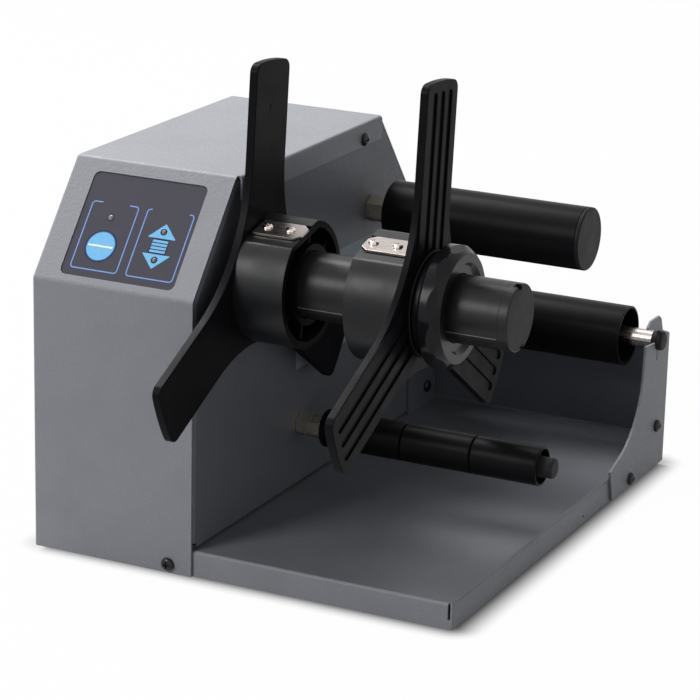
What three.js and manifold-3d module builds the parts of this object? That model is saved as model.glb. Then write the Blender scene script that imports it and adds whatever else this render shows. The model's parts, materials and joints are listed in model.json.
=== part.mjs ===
// Powered bench rewinder for label rolls, in millimetres.
// The housing's frame is used throughout: X runs right along the spindle, Y to the back, Z up, and the
// origin is the cover's front left bottom corner. The last lines stand the finished group on its feet.
import * as THREE from "three";
import { mergeVertices } from "three/addons/utils/BufferGeometryUtils.js";
import Module from "manifold-3d";

const wasm = await Module();
wasm.setup();

const DEG = Math.PI / 180;

// Sheet metal and clearances
const SHEET = 1.5; // thickness of every folded steel sheet
const GAP = 0.3; // clearance between neighbouring pieces
const PAST = 2; // how far a cutting solid runs past what it cuts
const ROOT = 1; // how far a joined boss or rib runs into what carries it

// Housing
const HOUSING_WIDTH = 108; // to the side plate's outer face
const HOUSING_HEIGHT = 230;
const HOUSING_DEPTH = 339;
const SLOPE_RISE = 63; // height of the front slope
const SLOPE_RUN = 51; // depth taken up by the front slope
const FRONT_HEIGHT = HOUSING_HEIGHT - SLOPE_RISE; // upright front below the slope
const TOP_LENGTH = 190; // flat top between the two slopes
const EDGE_REVEAL = 1; // the cover's right edge stops this far short of the side plate's face
const FLANGE_DEPTH = 10; // inward flanges of the side plate
const PLATE_BEND = 2.5; // outer bend radius of the side plate
const STRIP_HEIGHT = 14.5; // flange of the cover's top that hangs over the side plate
const STRIP_INSET = 2; // strip ends short of the top's two bends
const CORNER_NOTCH = 4; // relief notch at the side plate's lower front corner
const PLATE_INSIDE = HOUSING_WIDTH - SHEET;
const OUTSIDE_PLATE = HOUSING_WIDTH + GAP;
const STRIP_OUTSIDE = OUTSIDE_PLATE + SHEET;

// Tray
const TRAY_WIDTH = 165.4; // open tray beside the housing
const TRAY_HEIGHT = 16;
const TRAY_RIGHT = HOUSING_WIDTH + TRAY_WIDTH;
const BACK_WALL_HEIGHT = 63; // above the tray's floor
const BACK_WALL_TOP = TRAY_HEIGHT + BACK_WALL_HEIGHT;
const TAB_HEIGHT = 26;
const TAB_LENGTH = 42.5;
const TAB_INSET = 4.5; // tabs end this far before the housing's rear
const TAB_END = HOUSING_DEPTH - TAB_INSET;
const TAB_START = TAB_END - TAB_LENGTH;
const CORNER_SLIT = { width: 1.6, bottom: 6.1, inset: 1.2 };
const LIP_HOLE = { y: 198.4, z: 4.4, size: 2 };
const DECK = TRAY_HEIGHT + GAP; // what stands on the tray starts here

// Feet
const FOOT_DROP = 4; // feet reach this far below the cover's edge
const FOOT_RADIUS = 10;
const FOOT_TAPER = 2;
const FOOT_INSET = 22;

// Panel on the front slope: x across, s up the slope from the bend, n above the slope's face
const PANEL_MARGIN = 16.2; // from the panel's right edge to the side plate's outer face
const PANEL_WIDTH = 75.2;
const PANEL = {
  left: HOUSING_WIDTH - PANEL_MARGIN - PANEL_WIDTH, bottom: 5.4, width: PANEL_WIDTH, height: 66.6,
  corner: 4, recess: 0.4, thick: 2.5, border: 3,
};
const START_BUTTON = { x: PANEL.left + 20.1, s: PANEL.bottom + 20.1, radius: 9.8 };
const DIRECTION_BUTTON = { x: PANEL.left + 57, s: PANEL.bottom + 25.5, width: 10.4, height: 8.4 };
const BUTTON_PROUD = 0.2; // buttons stand this far above the panel
const BUTTON_LIP = 1.2; // ledge behind the panel that keeps a button in
const LAMPS = {
  status_led: { x: START_BUTTON.x, s: START_BUTTON.s + 18.6, radius: 1.9 },
  up_led: { x: DIRECTION_BUTTON.x, s: DIRECTION_BUTTON.s + 9.2, radius: 1.5 },
  down_led: { x: DIRECTION_BUTTON.x, s: DIRECTION_BUTTON.s - 8.7, radius: 1.5 },
};
const LAMP_DOME = 0.6;
const BOARD_DEPTH = 10; // from the slope's face down to the circuit board
const BOARD_THICK = 1.6;
const BOARD_INSET = 4;
const POST_RADIUS = 2.5;

// Spindle and reel
const SPINDLE_DROP = 59; // the reel's axis below the housing's top
const SPINDLE = {
  y: 55.6, z: HOUSING_HEIGHT - SPINDLE_DROP, radius: 19.6, wall: 2, hub: 8, plug: 6, plugLength: 10,
};
const SPINDLE_START = HOUSING_WIDTH + 4;
const SPINDLE_NOTCH = { width: 5, depth: 3, length: 3, angles: [98, -80] };
const SPINDLE_SHAFT_RADIUS = 7.5;
const BORE = SPINDLE.radius + GAP; // everything that slides on the spindle
const ARM_REACH = 127; // a 254 mm roll
const ARM_WIDTH = 40;
const ARM_THICK = 5.2;
const ARM_CORNER = 6;
const ARM_ANGLE = 85.6; // first arm, from +Y towards +Z
const ARM_COUNT = 3;
const ROLL_WIDTH = 101.1; // between the two flanges as photographed
const DRUM = { radius: 37.5, wall: 4, length: 31.5, ribs: 8, ribThick: 3, ribSetback: 4, ribTurn: -4.3 };
const DRUM_BOSS = SPINDLE.radius + 4.4;
const ARM_NECK = DRUM.radius + 0.5; // nearest the edge between two arms comes to the axis
const INNER_FLANGE_BACK = HOUSING_WIDTH + 9.8;
const INNER_FLANGE_FACE = INNER_FLANGE_BACK + ARM_THICK;
const OUTER_FLANGE_BACK = INNER_FLANGE_FACE + ROLL_WIDTH;
const OUTER_FLANGE_FACE = OUTER_FLANGE_BACK + ARM_THICK;
const GROOVE_RIM = 6; // the grooves end this far before the arms' tips
const GRIP = {
  turn: 17, sink: 2.8, thick: 1.5, front: 11, width: 17, length: 30, chamfer: 4, pad: 4, margin: 8,
};
const GRIP_ANGLE = ARM_ANGLE + GRIP.turn;
const GRIP_LEVEL = DRUM.radius - GRIP.sink; // grip plate's top face, from the axis
const GRIP_BED = GRIP_LEVEL - GRIP.thick - GAP;
const COLLET = { radius: SPINDLE.radius + 2.9, length: 14, neckLength: 6.5, step: 2, stepOut: 3 };
const NECK_RADIUS = COLLET.radius + 5.5;
const WEB = { drop: 1.2, margin: 0.02 }; // the outer face between its arms, and the arms' room beside the cut
const GROOVE = { count: 3, pitch: 10, width: 5, depth: 1, start: NECK_RADIUS, end: ARM_REACH - GROOVE_RIM };
const KNOB = { radius: NECK_RADIUS + 7.5, length: 20.7, ring: 4 };
// Flats round the knob's shoulder: each starts this far before the knob's end and leans in towards the axis.
const SCALLOP = { count: 10, angle: 90.5, start: 7.5, lean: 22, width: 22 };
const KNOB_END = OUTER_FLANGE_FACE + KNOB.length;
const SPINDLE_END = KNOB_END + 35;

// Rollers
const UPPER_PLACE = { behind: 173.1, above: 1.4 }; // from the reel's axis
const UPPER_ROLLER = {
  y: SPINDLE.y + UPPER_PLACE.behind, z: SPINDLE.z + UPPER_PLACE.above, radius: 19.6, length: 132.5,
  wall: 2.6, hub: 10, cap: 2.7, plug: 8, shaft: 6,
};
const UPPER_START = HOUSING_WIDTH + 16.5;
const REAR_PLACE = { inset: 26, above: 72 }; // from the housing's rear and above the tray's floor
const REAR_ROLLER = {
  y: HOUSING_DEPTH - REAR_PLACE.inset, z: TRAY_HEIGHT + REAR_PLACE.above, radius: 19.4, wall: 1.6,
  setback: 12, bush: 10, shaft: 6,
};
const REAR_START = HOUSING_WIDTH + 4;
const REAR_END = TRAY_RIGHT - 19;
const ROLLER_CLEARANCE = 1; // between the turning arms' tips and the lower roller
const LOWER_ANGLE = 55.3; // the lower roller lies this far below level behind the reel's axis
const LOWER_RADIUS = 11.9;
const LOWER_REACH = ARM_REACH + ROLLER_CLEARANCE + LOWER_RADIUS;
const LOWER_ROLLER = {
  y: SPINDLE.y + LOWER_REACH * Math.cos(LOWER_ANGLE * DEG),
  z: SPINDLE.z - LOWER_REACH * Math.sin(LOWER_ANGLE * DEG),
  radius: LOWER_RADIUS, lengths: [54, 45.5, 43], gap: 0.6, edge: 0.4, shaft: 4,
};
const LOWER_START = HOUSING_WIDTH + 18.7;
const LOWER_HOLLOW = { depth: 5, rim: 1.2, boss: 0.8 };
const LOWER_CAP = { radius: 6.25, length: 7.7, closed: 2 };
const ROLLER_NUT_FLATS = 15;
const LOWER_NUT_FLATS = 13;
const SHAFT_HEAD = { radius: 10, thick: 4 }; // nut that holds a roller shaft inside the side plate
const REAR_CAP = { radius: 6.1, length: 3.6, pin: 3, pinLength: 2.1 };

// Right bracket. The ear's corners are measured back and up from the rear roller's axis, going round it
// from the rear to the front.
const EAR = {
  heel: { back: 20.5, up: -0.4 },
  shoulder: { back: 19, up: 0.9 },
  step: { back: 9.8, up: 4.3 },
  nape: { back: 7.1, up: 5.3 },
  crownRear: { back: 3.6, up: 13.7 },
  crownMiddle: { back: -0.3, up: 16.6 },
  crownFront: { back: -15.5, up: 16.8 },
  brow: { back: -20.1, up: 13.6 },
  nose: { back: -21, up: 8 },
};
const BRACKET = { neck: 23.2, point: 51.8, pointLift: 5, footBack: 5, footLift: 0.6 };
const BRACKET_SWEEP = { radius: 50, lift: 8, turn: 72 }; // lift is above the tray's floor
const BRACKET_INSIDE = TRAY_RIGHT + GAP;
const BRACKET_OUTSIDE = BRACKET_INSIDE + SHEET;
const BRACKET_REAR = REAR_ROLLER.y + EAR.heel.back;
const BRACKET_NECK = REAR_ROLLER.y - BRACKET.neck;
const BRACKET_TIP = { y: BRACKET_NECK - BRACKET.point, z: TRAY_HEIGHT + BRACKET.pointLift };
const BRACKET_FOOT = { y: BRACKET_TIP.y + BRACKET.footBack, z: BRACKET.footLift };
// The slot that the rear shaft drops in through: its upper edge rises forwards from the seat round the shaft,
// and its lower edge has a sill before the seat. Places are measured like the ear's.
const SLOT = { tilt: 16, sill: { back: -8.3, up: 0 }, mouth: { back: -26, up: 1.9 } };
const SLIT = { back: -1.5, width: 1.1, length: 8 };

// Drive
const BEARING = { bore: SPINDLE_SHAFT_RADIUS + GAP, outer: SPINDLE_SHAFT_RADIUS + 8.5, width: 9 };
const BEARING_HOUSING = { length: 44, wall: 6, lip: 8, flangeThick: 4, shoulder: 3 };
const DRIVE_DEPTH = 81; // from the side plate's outer face in to the pulleys' left faces
const PULLEY_PLANE = HOUSING_WIDTH - DRIVE_DEPTH;
const PULLEY_WIDTH = 12;
const SHAFT_STUB = 9; // the reel's shaft runs this far past its pulley
const PULLEY_RIM = { thick: 1.5, height: 3 };
const SPINDLE_PULLEY_RADIUS = 20;
const MOTOR_PULLEY_RADIUS = 12;
const BELT_THICK = 1.8;
const MOTOR_PLACE = { behind: 94.4, below: 71 }; // from the reel's axis
const MOTOR = {
  y: SPINDLE.y + MOTOR_PLACE.behind, z: SPINDLE.z - MOTOR_PLACE.below, gearbox: 56, gearboxLength: 28,
  radius: 26, length: 24, shaft: 4,
};
const PULLEY_CLEARANCE = 9; // between the motor's pulley and its bracket
const MOTOR_BRACKET = {
  x: PULLEY_PLANE + PULLEY_WIDTH + PULLEY_CLEARANCE, thick: 2, width: 70, above: 34, foot: 40, hole: 12,
};

// Rear sockets
const INLET = { x: 32, z: 45, flange: 7, body: 5.2, bore: 3.1, pin: 1.05, proud: 2, depth: 14, floor: 4 };
const SWITCH = { x: 70.5, z: 45, width: 21, height: 15, lip: 1.7, rim: 2.5, depth: 15, well: 4.4 };
const ROCKER = { length: 14.8, raised: 2.2, middle: 0.8, under: 2, tilt: 7, pivot: 1 };

// Screws
const SCREW = { radius: 4, height: 2.6, shank: 2, length: 8, slot: 1, slotLength: 4.4, slotDepth: 1.2 };
const SCREW_HOLE = SCREW.shank + GAP;
const FRONT_SCREW = { x: HOUSING_WIDTH - 16.2, z: 5.5 };
const STRIP_SCREW = { rear: 28, front: 28, down: 10.2 }; // from the ends and the top of the housing's top
const STRIP_SCREW_Z = HOUSING_HEIGHT - STRIP_SCREW.down;
const STRIP_SCREWS = [
  { y: SLOPE_RUN + TOP_LENGTH - STRIP_SCREW.rear, z: STRIP_SCREW_Z },
  { y: SLOPE_RUN + STRIP_SCREW.front, z: STRIP_SCREW_Z },
];
const TAB_HOLE = { back: 27.3, up: 12.5 }; // from the left tab's front edge and the tray's floor
const TAB_SCREW = { y: TAB_START + TAB_HOLE.back, z: TRAY_HEIGHT + TAB_HOLE.up };
const BRACKET_HOLE = { back: 25.5, up: 12.9, footBack: 30.4, footUp: 6.1 };
const BRACKET_SCREWS = [
  { y: TAB_START + BRACKET_HOLE.back, z: TRAY_HEIGHT + BRACKET_HOLE.up },
  { y: BRACKET_FOOT.y + BRACKET_HOLE.footBack, z: BRACKET_HOLE.footUp },
];

const SLOPE_ANGLE = Math.atan2(SLOPE_RISE, SLOPE_RUN);
const REAR_SEAT = HOUSING_DEPTH + GAP; // what sits on the cover's rear starts here
const PANEL_BEHIND = -SHEET - GAP;
const BUTTON_LEDGE = PANEL_BEHIND - PANEL.thick - GAP;
const BUTTON_TOP = BUTTON_PROUD - PANEL.recess;

// Turns a closed three.js geometry into a solid that can be joined and cut.
function solidFrom(geometry) {
  const bare = geometry.clone();
  bare.deleteAttribute("normal");
  bare.deleteAttribute("uv");
  const merged = mergeVertices(bare, 1e-4);
  const points = merged.attributes.position;
  const corners = [0, 1, 2].map(() => new THREE.Vector3());
  const triangles = [];
  let volume = 0;
  for (let i = 0; i < merged.index.count; i += 3) {
    const [a, b, c] = [0, 1, 2].map((k) => merged.index.getX(i + k));
    if (a === b || b === c || c === a) continue;
    triangles.push([a, b, c]);
    [a, b, c].forEach((vertex, k) => corners[k].fromBufferAttribute(points, vertex));
    volume += corners[0].dot(corners[1].clone().cross(corners[2]));
  }
  const facing = volume < 0 ? triangles.map(([a, b, c]) => [a, c, b]) : triangles;
  return new wasm.Manifold(new wasm.Mesh({
    numProp: 3,
    vertProperties: new Float32Array(points.array),
    triVerts: new Uint32Array(facing.flat()),
  }));
}

function geometryFrom(solid) {
  const mesh = solid.getMesh();
  const geometry = new THREE.BufferGeometry();
  geometry.setAttribute("position", new THREE.BufferAttribute(mesh.vertProperties, 3));
  geometry.setIndex(new THREE.BufferAttribute(mesh.triVerts, 1));
  geometry.computeVertexNormals();
  return geometry;
}

function joined(solids) {
  return solids.reduce((whole, solid) => whole.add(solid));
}

function cutBy(solid, cutters) {
  return cutters.reduce((rest, cutter) => rest.subtract(cutter), solid);
}

function boxGeometry(x0, x1, y0, y1, z0, z1) {
  const geometry = new THREE.BoxGeometry(x1 - x0, y1 - y0, z1 - z0);
  geometry.translate((x0 + x1) / 2, (y0 + y1) / 2, (z0 + z1) / 2);
  return geometry;
}

function box(x0, x1, y0, y1, z0, z1) {
  return solidFrom(boxGeometry(x0, x1, y0, y1, z0, z1));
}

// Box turned about the X axis: d runs outwards at the angle, c runs round from +Y towards +Z.
function blockAt(angle, x0, x1, d0, d1, c0, c1) {
  const geometry = boxGeometry(x0, x1, d0, d1, c0, c1);
  geometry.rotateX(angle * DEG);
  return solidFrom(geometry);
}

// Lathe geometry about Y from [height, radius] corners. One that starts off the axis closes on itself.
function latheGeometry(profile, segments) {
  const points = profile.map(([height, radius]) => new THREE.Vector2(radius, height));
  if (profile[0][1] > 0) points.push(points[0].clone());
  return new THREE.LatheGeometry(points, segments);
}

// Solid turned about an axis along X, from [x, radius] corners.
function turned(profile, segments = 28, y = 0, z = 0) {
  const geometry = latheGeometry(profile, segments);
  geometry.rotateZ(-90 * DEG);
  geometry.translate(0, y, z);
  return solidFrom(geometry);
}

function rod(x0, x1, radius, segments = 20, y = 0, z = 0) {
  return turned([[x0, 0], [x0, radius], [x1, radius], [x1, 0]], segments, y, z);
}

function pipe(x0, x1, inner, outer, segments = 28) {
  return turned([[x0, inner], [x1, inner], [x1, outer], [x0, outer]], segments);
}

function holeAlongX({ y, z }, x0, x1, radius, segments = 16) {
  return rod(x0 - PAST, x1 + PAST, radius, segments, y, z);
}

function rodAlongY(y0, y1, radius, x, z, segments = 16) {
  const geometry = new THREE.CylinderGeometry(radius, radius, y1 - y0, segments);
  geometry.translate(x, (y0 + y1) / 2, z);
  return solidFrom(geometry);
}

// Upright round solid in its own frame, from [height, radius] corners.
function peg(x, y, profile, segments = 16) {
  const geometry = latheGeometry(profile, segments);
  geometry.rotateX(90 * DEG);
  geometry.translate(x, y, 0);
  return solidFrom(geometry);
}

function shapeOf(points) {
  return new THREE.Shape(points.map(([a, b]) => new THREE.Vector2(a, b)));
}

function extruded(shape, depth, curveSegments = 4) {
  return new THREE.ExtrudeGeometry(shape, { depth, bevelEnabled: false, curveSegments });
}

// Turns an extrusion of an (a, b) shape so that its depth and its two directions lie along the given axes.
function laidAlong(geometry, directionA, directionB, directionDepth) {
  const axes = [directionA, directionB, directionDepth].map((axis) => new THREE.Vector3(...axis));
  geometry.applyMatrix4(new THREE.Matrix4().makeBasis(...axes));
  return geometry;
}

function alongX(geometry, x0) {
  return laidAlong(geometry, [0, 1, 0], [0, 0, 1], [1, 0, 0]).translate(x0, 0, 0);
}

// Extrudes a (y, z) shape along X.
function prism(shape, x0, x1) {
  return solidFrom(alongX(extruded(shape, x1 - x0), x0));
}

function roundedRectangle(x0, x1, y0, y1, radius) {
  const corners = [[x1 - radius, y0 + radius], [x1 - radius, y1 - radius], [x0 + radius, y1 - radius]];
  corners.push([x0 + radius, y0 + radius]);
  const shape = new THREE.Shape();
  corners.forEach(([x, y], index) => {
    const from = (index - 1) * 90 * DEG;
    shape.absarc(x, y, radius, from, from + 90 * DEG, false);
  });
  return shape;
}

// Rounded plate over the panel's place in the slope's frame, grown by a margin, between two heights.
function panelPlate(margin, n0, n1) {
  const { left, bottom, width, height, corner } = PANEL;
  const top = bottom + height + margin;
  const shape = roundedRectangle(left - margin, left + width + margin, bottom - margin, top, corner);
  return extruded(shape, n1 - n0, 2).translate(0, 0, n0);
}

// Centred box in the slope's frame.
function slopeBlock({ x, s, width, height }, margin, n0, n1) {
  const [w, h] = [width / 2 + margin, height / 2 + margin];
  return box(x - w, x + w, s - h, s + h, n0, n1);
}

function slopePeg({ x, s }, radius, n0, n1, segments = 16) {
  return peg(x, s, [[n0, 0], [n0, radius], [n1, radius], [n1, 0]], segments);
}

function hexagon(x0, x1, flats, bore) {
  const corner = flats / 2 / Math.cos(30 * DEG);
  return rod(x0, x1, corner, 6).subtract(rod(x0 - PAST, x1 + PAST, bore));
}

// Outline of the housing's side, moved inwards: front, slope, top, rear slope and rear.
function housingOutline(inset, bottom) {
  const slopeCorner = inset * Math.tan((90 * DEG - SLOPE_ANGLE) / 2);
  const topCorner = inset * Math.tan(SLOPE_ANGLE / 2);
  const rearRun = HOUSING_DEPTH - SLOPE_RUN - TOP_LENGTH;
  const rearHeight = HOUSING_HEIGHT - rearRun * Math.tan(SLOPE_ANGLE);
  return shapeOf([
    [inset, bottom],
    [HOUSING_DEPTH - inset, bottom],
    [HOUSING_DEPTH - inset, rearHeight - slopeCorner],
    [SLOPE_RUN + TOP_LENGTH - topCorner, HOUSING_HEIGHT - inset],
    [SLOPE_RUN + topCorner, HOUSING_HEIGHT - inset],
    [inset, FRONT_HEIGHT - slopeCorner],
  ]);
}

// Folded cover: left side, front, slopes, top and rear, with a strip of the top hanging over the side plate.
function coverSolid() {
  const right = HOUSING_WIDTH - EDGE_REVEAL;
  const shell = prism(housingOutline(0, 0), 0, right)
    .subtract(prism(housingOutline(SHEET, -PAST), SHEET, right + PAST));
  const stripStart = SLOPE_RUN + STRIP_INSET;
  const stripEnd = SLOPE_RUN + TOP_LENGTH - STRIP_INSET;
  const stripBottom = HOUSING_HEIGHT - STRIP_HEIGHT;
  const top = box(right - ROOT, STRIP_OUTSIDE, stripStart, stripEnd, HOUSING_HEIGHT - SHEET, HOUSING_HEIGHT);
  const strip = box(OUTSIDE_PLATE, STRIP_OUTSIDE, stripStart, stripEnd, stripBottom, HOUSING_HEIGHT);
  const window = panelPlate(GAP, -SHEET - PAST, PAST).rotateX(SLOPE_ANGLE).translate(0, 0, FRONT_HEIGHT);
  const [y0, y1] = [HOUSING_DEPTH - SHEET - PAST, HOUSING_DEPTH + PAST];
  const halfWidth = (SWITCH.width - SWITCH.rim) / 2 + GAP;
  const halfHeight = (SWITCH.height - SWITCH.rim) / 2 + GAP;
  return cutBy(joined([shell, top, strip]), [
    solidFrom(window),
    rodAlongY(-PAST, SHEET + PAST, SCREW_HOLE, FRONT_SCREW.x, FRONT_SCREW.z),
    ...STRIP_SCREWS.map((spot) => holeAlongX(spot, OUTSIDE_PLATE, STRIP_OUTSIDE, SCREW_HOLE, 12)),
    rodAlongY(y0, y1, INLET.body + GAP, INLET.x, INLET.z),
    box(SWITCH.x - halfWidth, SWITCH.x + halfWidth, y0, y1, SWITCH.z - halfHeight, SWITCH.z + halfHeight),
  ]);
}

// Side plate folded like a lid, its flanges turned inwards behind the cover.
function sidePlateSolid() {
  const inset = SHEET + GAP;
  const back = HOUSING_WIDTH - FLANGE_DEPTH;
  const bent = new THREE.ExtrudeGeometry(housingOutline(inset, DECK), {
    depth: FLANGE_DEPTH,
    bevelSize: PLATE_BEND,
    bevelThickness: PLATE_BEND,
    bevelOffset: -PLATE_BEND,
    bevelSegments: 3,
  });
  const block = solidFrom(alongX(bent, back - PLATE_BEND));
  const behind = box(0, back, 0, HOUSING_DEPTH, 0, HOUSING_HEIGHT);
  const hollow = prism(housingOutline(inset + SHEET, DECK + SHEET), back - PAST, PLATE_INSIDE);
  const notch = inset + CORNER_NOTCH;
  return cutBy(block, [
    behind,
    hollow,
    box(HOUSING_WIDTH - CORNER_NOTCH, HOUSING_WIDTH + PAST, 0, notch, 0, DECK + CORNER_NOTCH),
    holeAlongX(SPINDLE, back, HOUSING_WIDTH, (SPINDLE_SHAFT_RADIUS + BEARING.outer) / 2),
    ...[UPPER_ROLLER, REAR_ROLLER, LOWER_ROLLER].map((roller) => (
      holeAlongX(roller, back, HOUSING_WIDTH, roller.shaft + GAP)
    )),
    ...[TAB_SCREW, ...STRIP_SCREWS].map((spot) => holeAlongX(spot, back, HOUSING_WIDTH, SCREW_HOLE, 12)),
  ]);
}

// One folded sheet: the floor with lips turned down, the back wall and two tabs turned up.
function traySolid() {
  const edge = SHEET + GAP;
  const rear = HOUSING_DEPTH - edge;
  const under = TRAY_HEIGHT - SHEET;
  const tabTop = TRAY_HEIGHT + TAB_HEIGHT;
  const lipInside = TRAY_RIGHT - SHEET;
  const sheet = joined([
    box(edge, TRAY_RIGHT, edge, rear, under, TRAY_HEIGHT),
    box(edge, TRAY_RIGHT, edge, edge + SHEET, 0, TRAY_HEIGHT),
    box(edge, edge + SHEET, edge, rear, 0, TRAY_HEIGHT),
    box(lipInside, TRAY_RIGHT, edge, rear, 0, TRAY_HEIGHT),
    box(edge, STRIP_OUTSIDE, rear - SHEET, rear, 0, TRAY_HEIGHT),
    box(OUTSIDE_PLATE, lipInside - GAP, rear - SHEET, rear, under, BACK_WALL_TOP),
    box(OUTSIDE_PLATE, STRIP_OUTSIDE, TAB_START, TAB_END, under, tabTop),
    box(lipInside, TRAY_RIGHT, TAB_START, TAB_END, under, tabTop),
  ]);
  const slitRight = TRAY_RIGHT - CORNER_SLIT.inset;
  const { y, z, size } = LIP_HOLE;
  return cutBy(sheet, [
    box(slitRight - CORNER_SLIT.width, slitRight, 0, edge + SHEET, CORNER_SLIT.bottom, TRAY_HEIGHT + PAST),
    box(lipInside - PAST, TRAY_RIGHT + PAST, y - size / 2, y + size / 2, z - size / 2, z + size / 2),
    rodAlongY(0, edge + SHEET + PAST, SCREW_HOLE, FRONT_SCREW.x, FRONT_SCREW.z),
    holeAlongX(TAB_SCREW, OUTSIDE_PLATE, STRIP_OUTSIDE, SCREW_HOLE, 12),
    ...BRACKET_SCREWS.map((spot) => holeAlongX(spot, lipInside, TRAY_RIGHT, SCREW_HOLE, 12)),
  ]);
}

// Plate outside the tray's right lip, with a swept front edge and a hooked ear over the rear roller's shaft.
function bracketSolid() {
  const { radius: sweep, lift, turn } = BRACKET_SWEEP;
  const sweepZ = TRAY_HEIGHT + lift + sweep;
  const shape = new THREE.Shape();
  shape.moveTo(BRACKET_FOOT.y, BRACKET_FOOT.z);
  shape.lineTo(BRACKET_REAR, BRACKET_FOOT.z);
  Object.values(EAR).forEach(({ back, up }) => shape.lineTo(REAR_ROLLER.y + back, REAR_ROLLER.z + up));
  shape.lineTo(BRACKET_NECK, sweepZ);
  shape.absarc(BRACKET_NECK - sweep, sweepZ, sweep, 0, -turn * DEG, true);
  shape.lineTo(BRACKET_TIP.y, BRACKET_TIP.z);
  const radius = REAR_ROLLER.shaft + GAP;
  const [sine, cosine] = [Math.sin(SLOT.tilt * DEG), Math.cos(SLOT.tilt * DEG)];
  const touch = { back: radius * sine, up: radius * cosine };
  const run = touch.back - SLOT.mouth.back;
  const slotShape = shapeOf([
    touch, { back: SLOT.mouth.back, up: touch.up + run * Math.tan(SLOT.tilt * DEG) }, SLOT.mouth, SLOT.sill,
    { back: -radius, up: 0 }, { back: 0, up: 0 },
  ].map(({ back, up }) => [REAR_ROLLER.y + back, REAR_ROLLER.z + up]));
  const slitTop = REAR_ROLLER.z - radius * 0.8;
  const slitMiddle = REAR_ROLLER.y + SLIT.back;
  const [y0, y1] = [slitMiddle - SLIT.width / 2, slitMiddle + SLIT.width / 2];
  return cutBy(prism(shape, BRACKET_INSIDE, BRACKET_OUTSIDE), [
    holeAlongX(REAR_ROLLER, BRACKET_INSIDE, BRACKET_OUTSIDE, radius, 20),
    prism(slotShape, BRACKET_INSIDE - PAST, BRACKET_OUTSIDE + PAST),
    box(BRACKET_INSIDE - PAST, BRACKET_OUTSIDE + PAST, y0, y1, slitTop - SLIT.length, slitTop),
    ...BRACKET_SCREWS.map((spot) => holeAlongX(spot, BRACKET_INSIDE, BRACKET_OUTSIDE, SCREW_HOLE, 12)),
  ]);
}

// Rubber foot under the tray's floor, tapered towards the table.
function footSolid() {
  const top = TRAY_HEIGHT - SHEET - GAP;
  return peg(0, 0, [[-FOOT_DROP, 0], [-FOOT_DROP, FOOT_RADIUS - FOOT_TAPER], [top, FOOT_RADIUS], [top, 0]]);
}

// Pan head screw along X with its seat at the origin, head towards +X, cross recess in the head.
function screwSolid() {
  const { radius, height, shank, length, slot, slotLength, slotDepth } = SCREW;
  const body = turned([
    [-length, 0], [-length, shank], [0, shank], [0, radius], [height * 0.6, radius],
    [height * 0.9, radius * 0.75], [height, radius * 0.3], [height, 0],
  ], 12);
  const [half, reach, floor] = [slot / 2, slotLength / 2, height - slotDepth];
  return cutBy(body, [
    box(floor, height + PAST, -half, half, -reach, reach),
    box(floor, height + PAST, -reach, reach, -half, half),
  ]);
}

// Membrane panel in the cover's window, on a wider plate that holds it from behind.
function panelSolid() {
  const bottom = PANEL_BEHIND - PANEL.thick;
  const face = solidFrom(panelPlate(0, PANEL_BEHIND - ROOT, -PANEL.recess));
  const back = solidFrom(panelPlate(PANEL.border, bottom, PANEL_BEHIND));
  const under = bottom - PAST;
  return cutBy(face.add(back), [
    ...Object.values(LAMPS).map((lamp) => slopePeg(lamp, lamp.radius + GAP, under, PAST, 12)),
    slopePeg(START_BUTTON, START_BUTTON.radius + GAP, under, PAST, 28),
    slopeBlock(DIRECTION_BUTTON, GAP, under, PAST),
  ]);
}

function startButtonSolid() {
  const { radius } = START_BUTTON;
  const bottom = BUTTON_LEDGE - BUTTON_LIP;
  const cap = slopePeg(START_BUTTON, radius, bottom, BUTTON_TOP, 28);
  return cap.add(slopePeg(START_BUTTON, radius + BUTTON_LIP, bottom, BUTTON_LEDGE, 28));
}

function directionButtonSolid() {
  const bottom = BUTTON_LEDGE - BUTTON_LIP;
  const cap = slopeBlock(DIRECTION_BUTTON, 0, bottom, BUTTON_TOP);
  return cap.add(slopeBlock(DIRECTION_BUTTON, BUTTON_LIP, bottom, BUTTON_LEDGE));
}

function lampSolid({ x, s, radius }) {
  const foot = GAP - BOARD_DEPTH;
  const shoulder = -PANEL.recess;
  const top = shoulder + LAMP_DOME;
  return peg(x, s, [[foot, 0], [foot, radius], [shoulder, radius], [top, radius * 0.6], [top, 0]], 12);
}

// Circuit board behind the panel, held off it by a post near each corner.
function boardSolid() {
  const { left, bottom, width, height } = PANEL;
  const top = -BOARD_DEPTH;
  const centre = { x: left + width / 2, s: bottom + height / 2, width, height };
  const board = slopeBlock(centre, -BOARD_INSET, top - BOARD_THICK, top);
  const across = width / 2 - BOARD_INSET - POST_RADIUS;
  const up = height / 2 - BOARD_INSET - POST_RADIUS;
  const corners = [[-1, -1], [-1, 1], [1, -1], [1, 1]];
  return joined([board, ...corners.map(([i, j]) => (
    slopePeg({ x: centre.x + i * across, s: centre.s + j * up }, POST_RADIUS, top - ROOT, BUTTON_LEDGE, 10)
  ))]);
}

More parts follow.
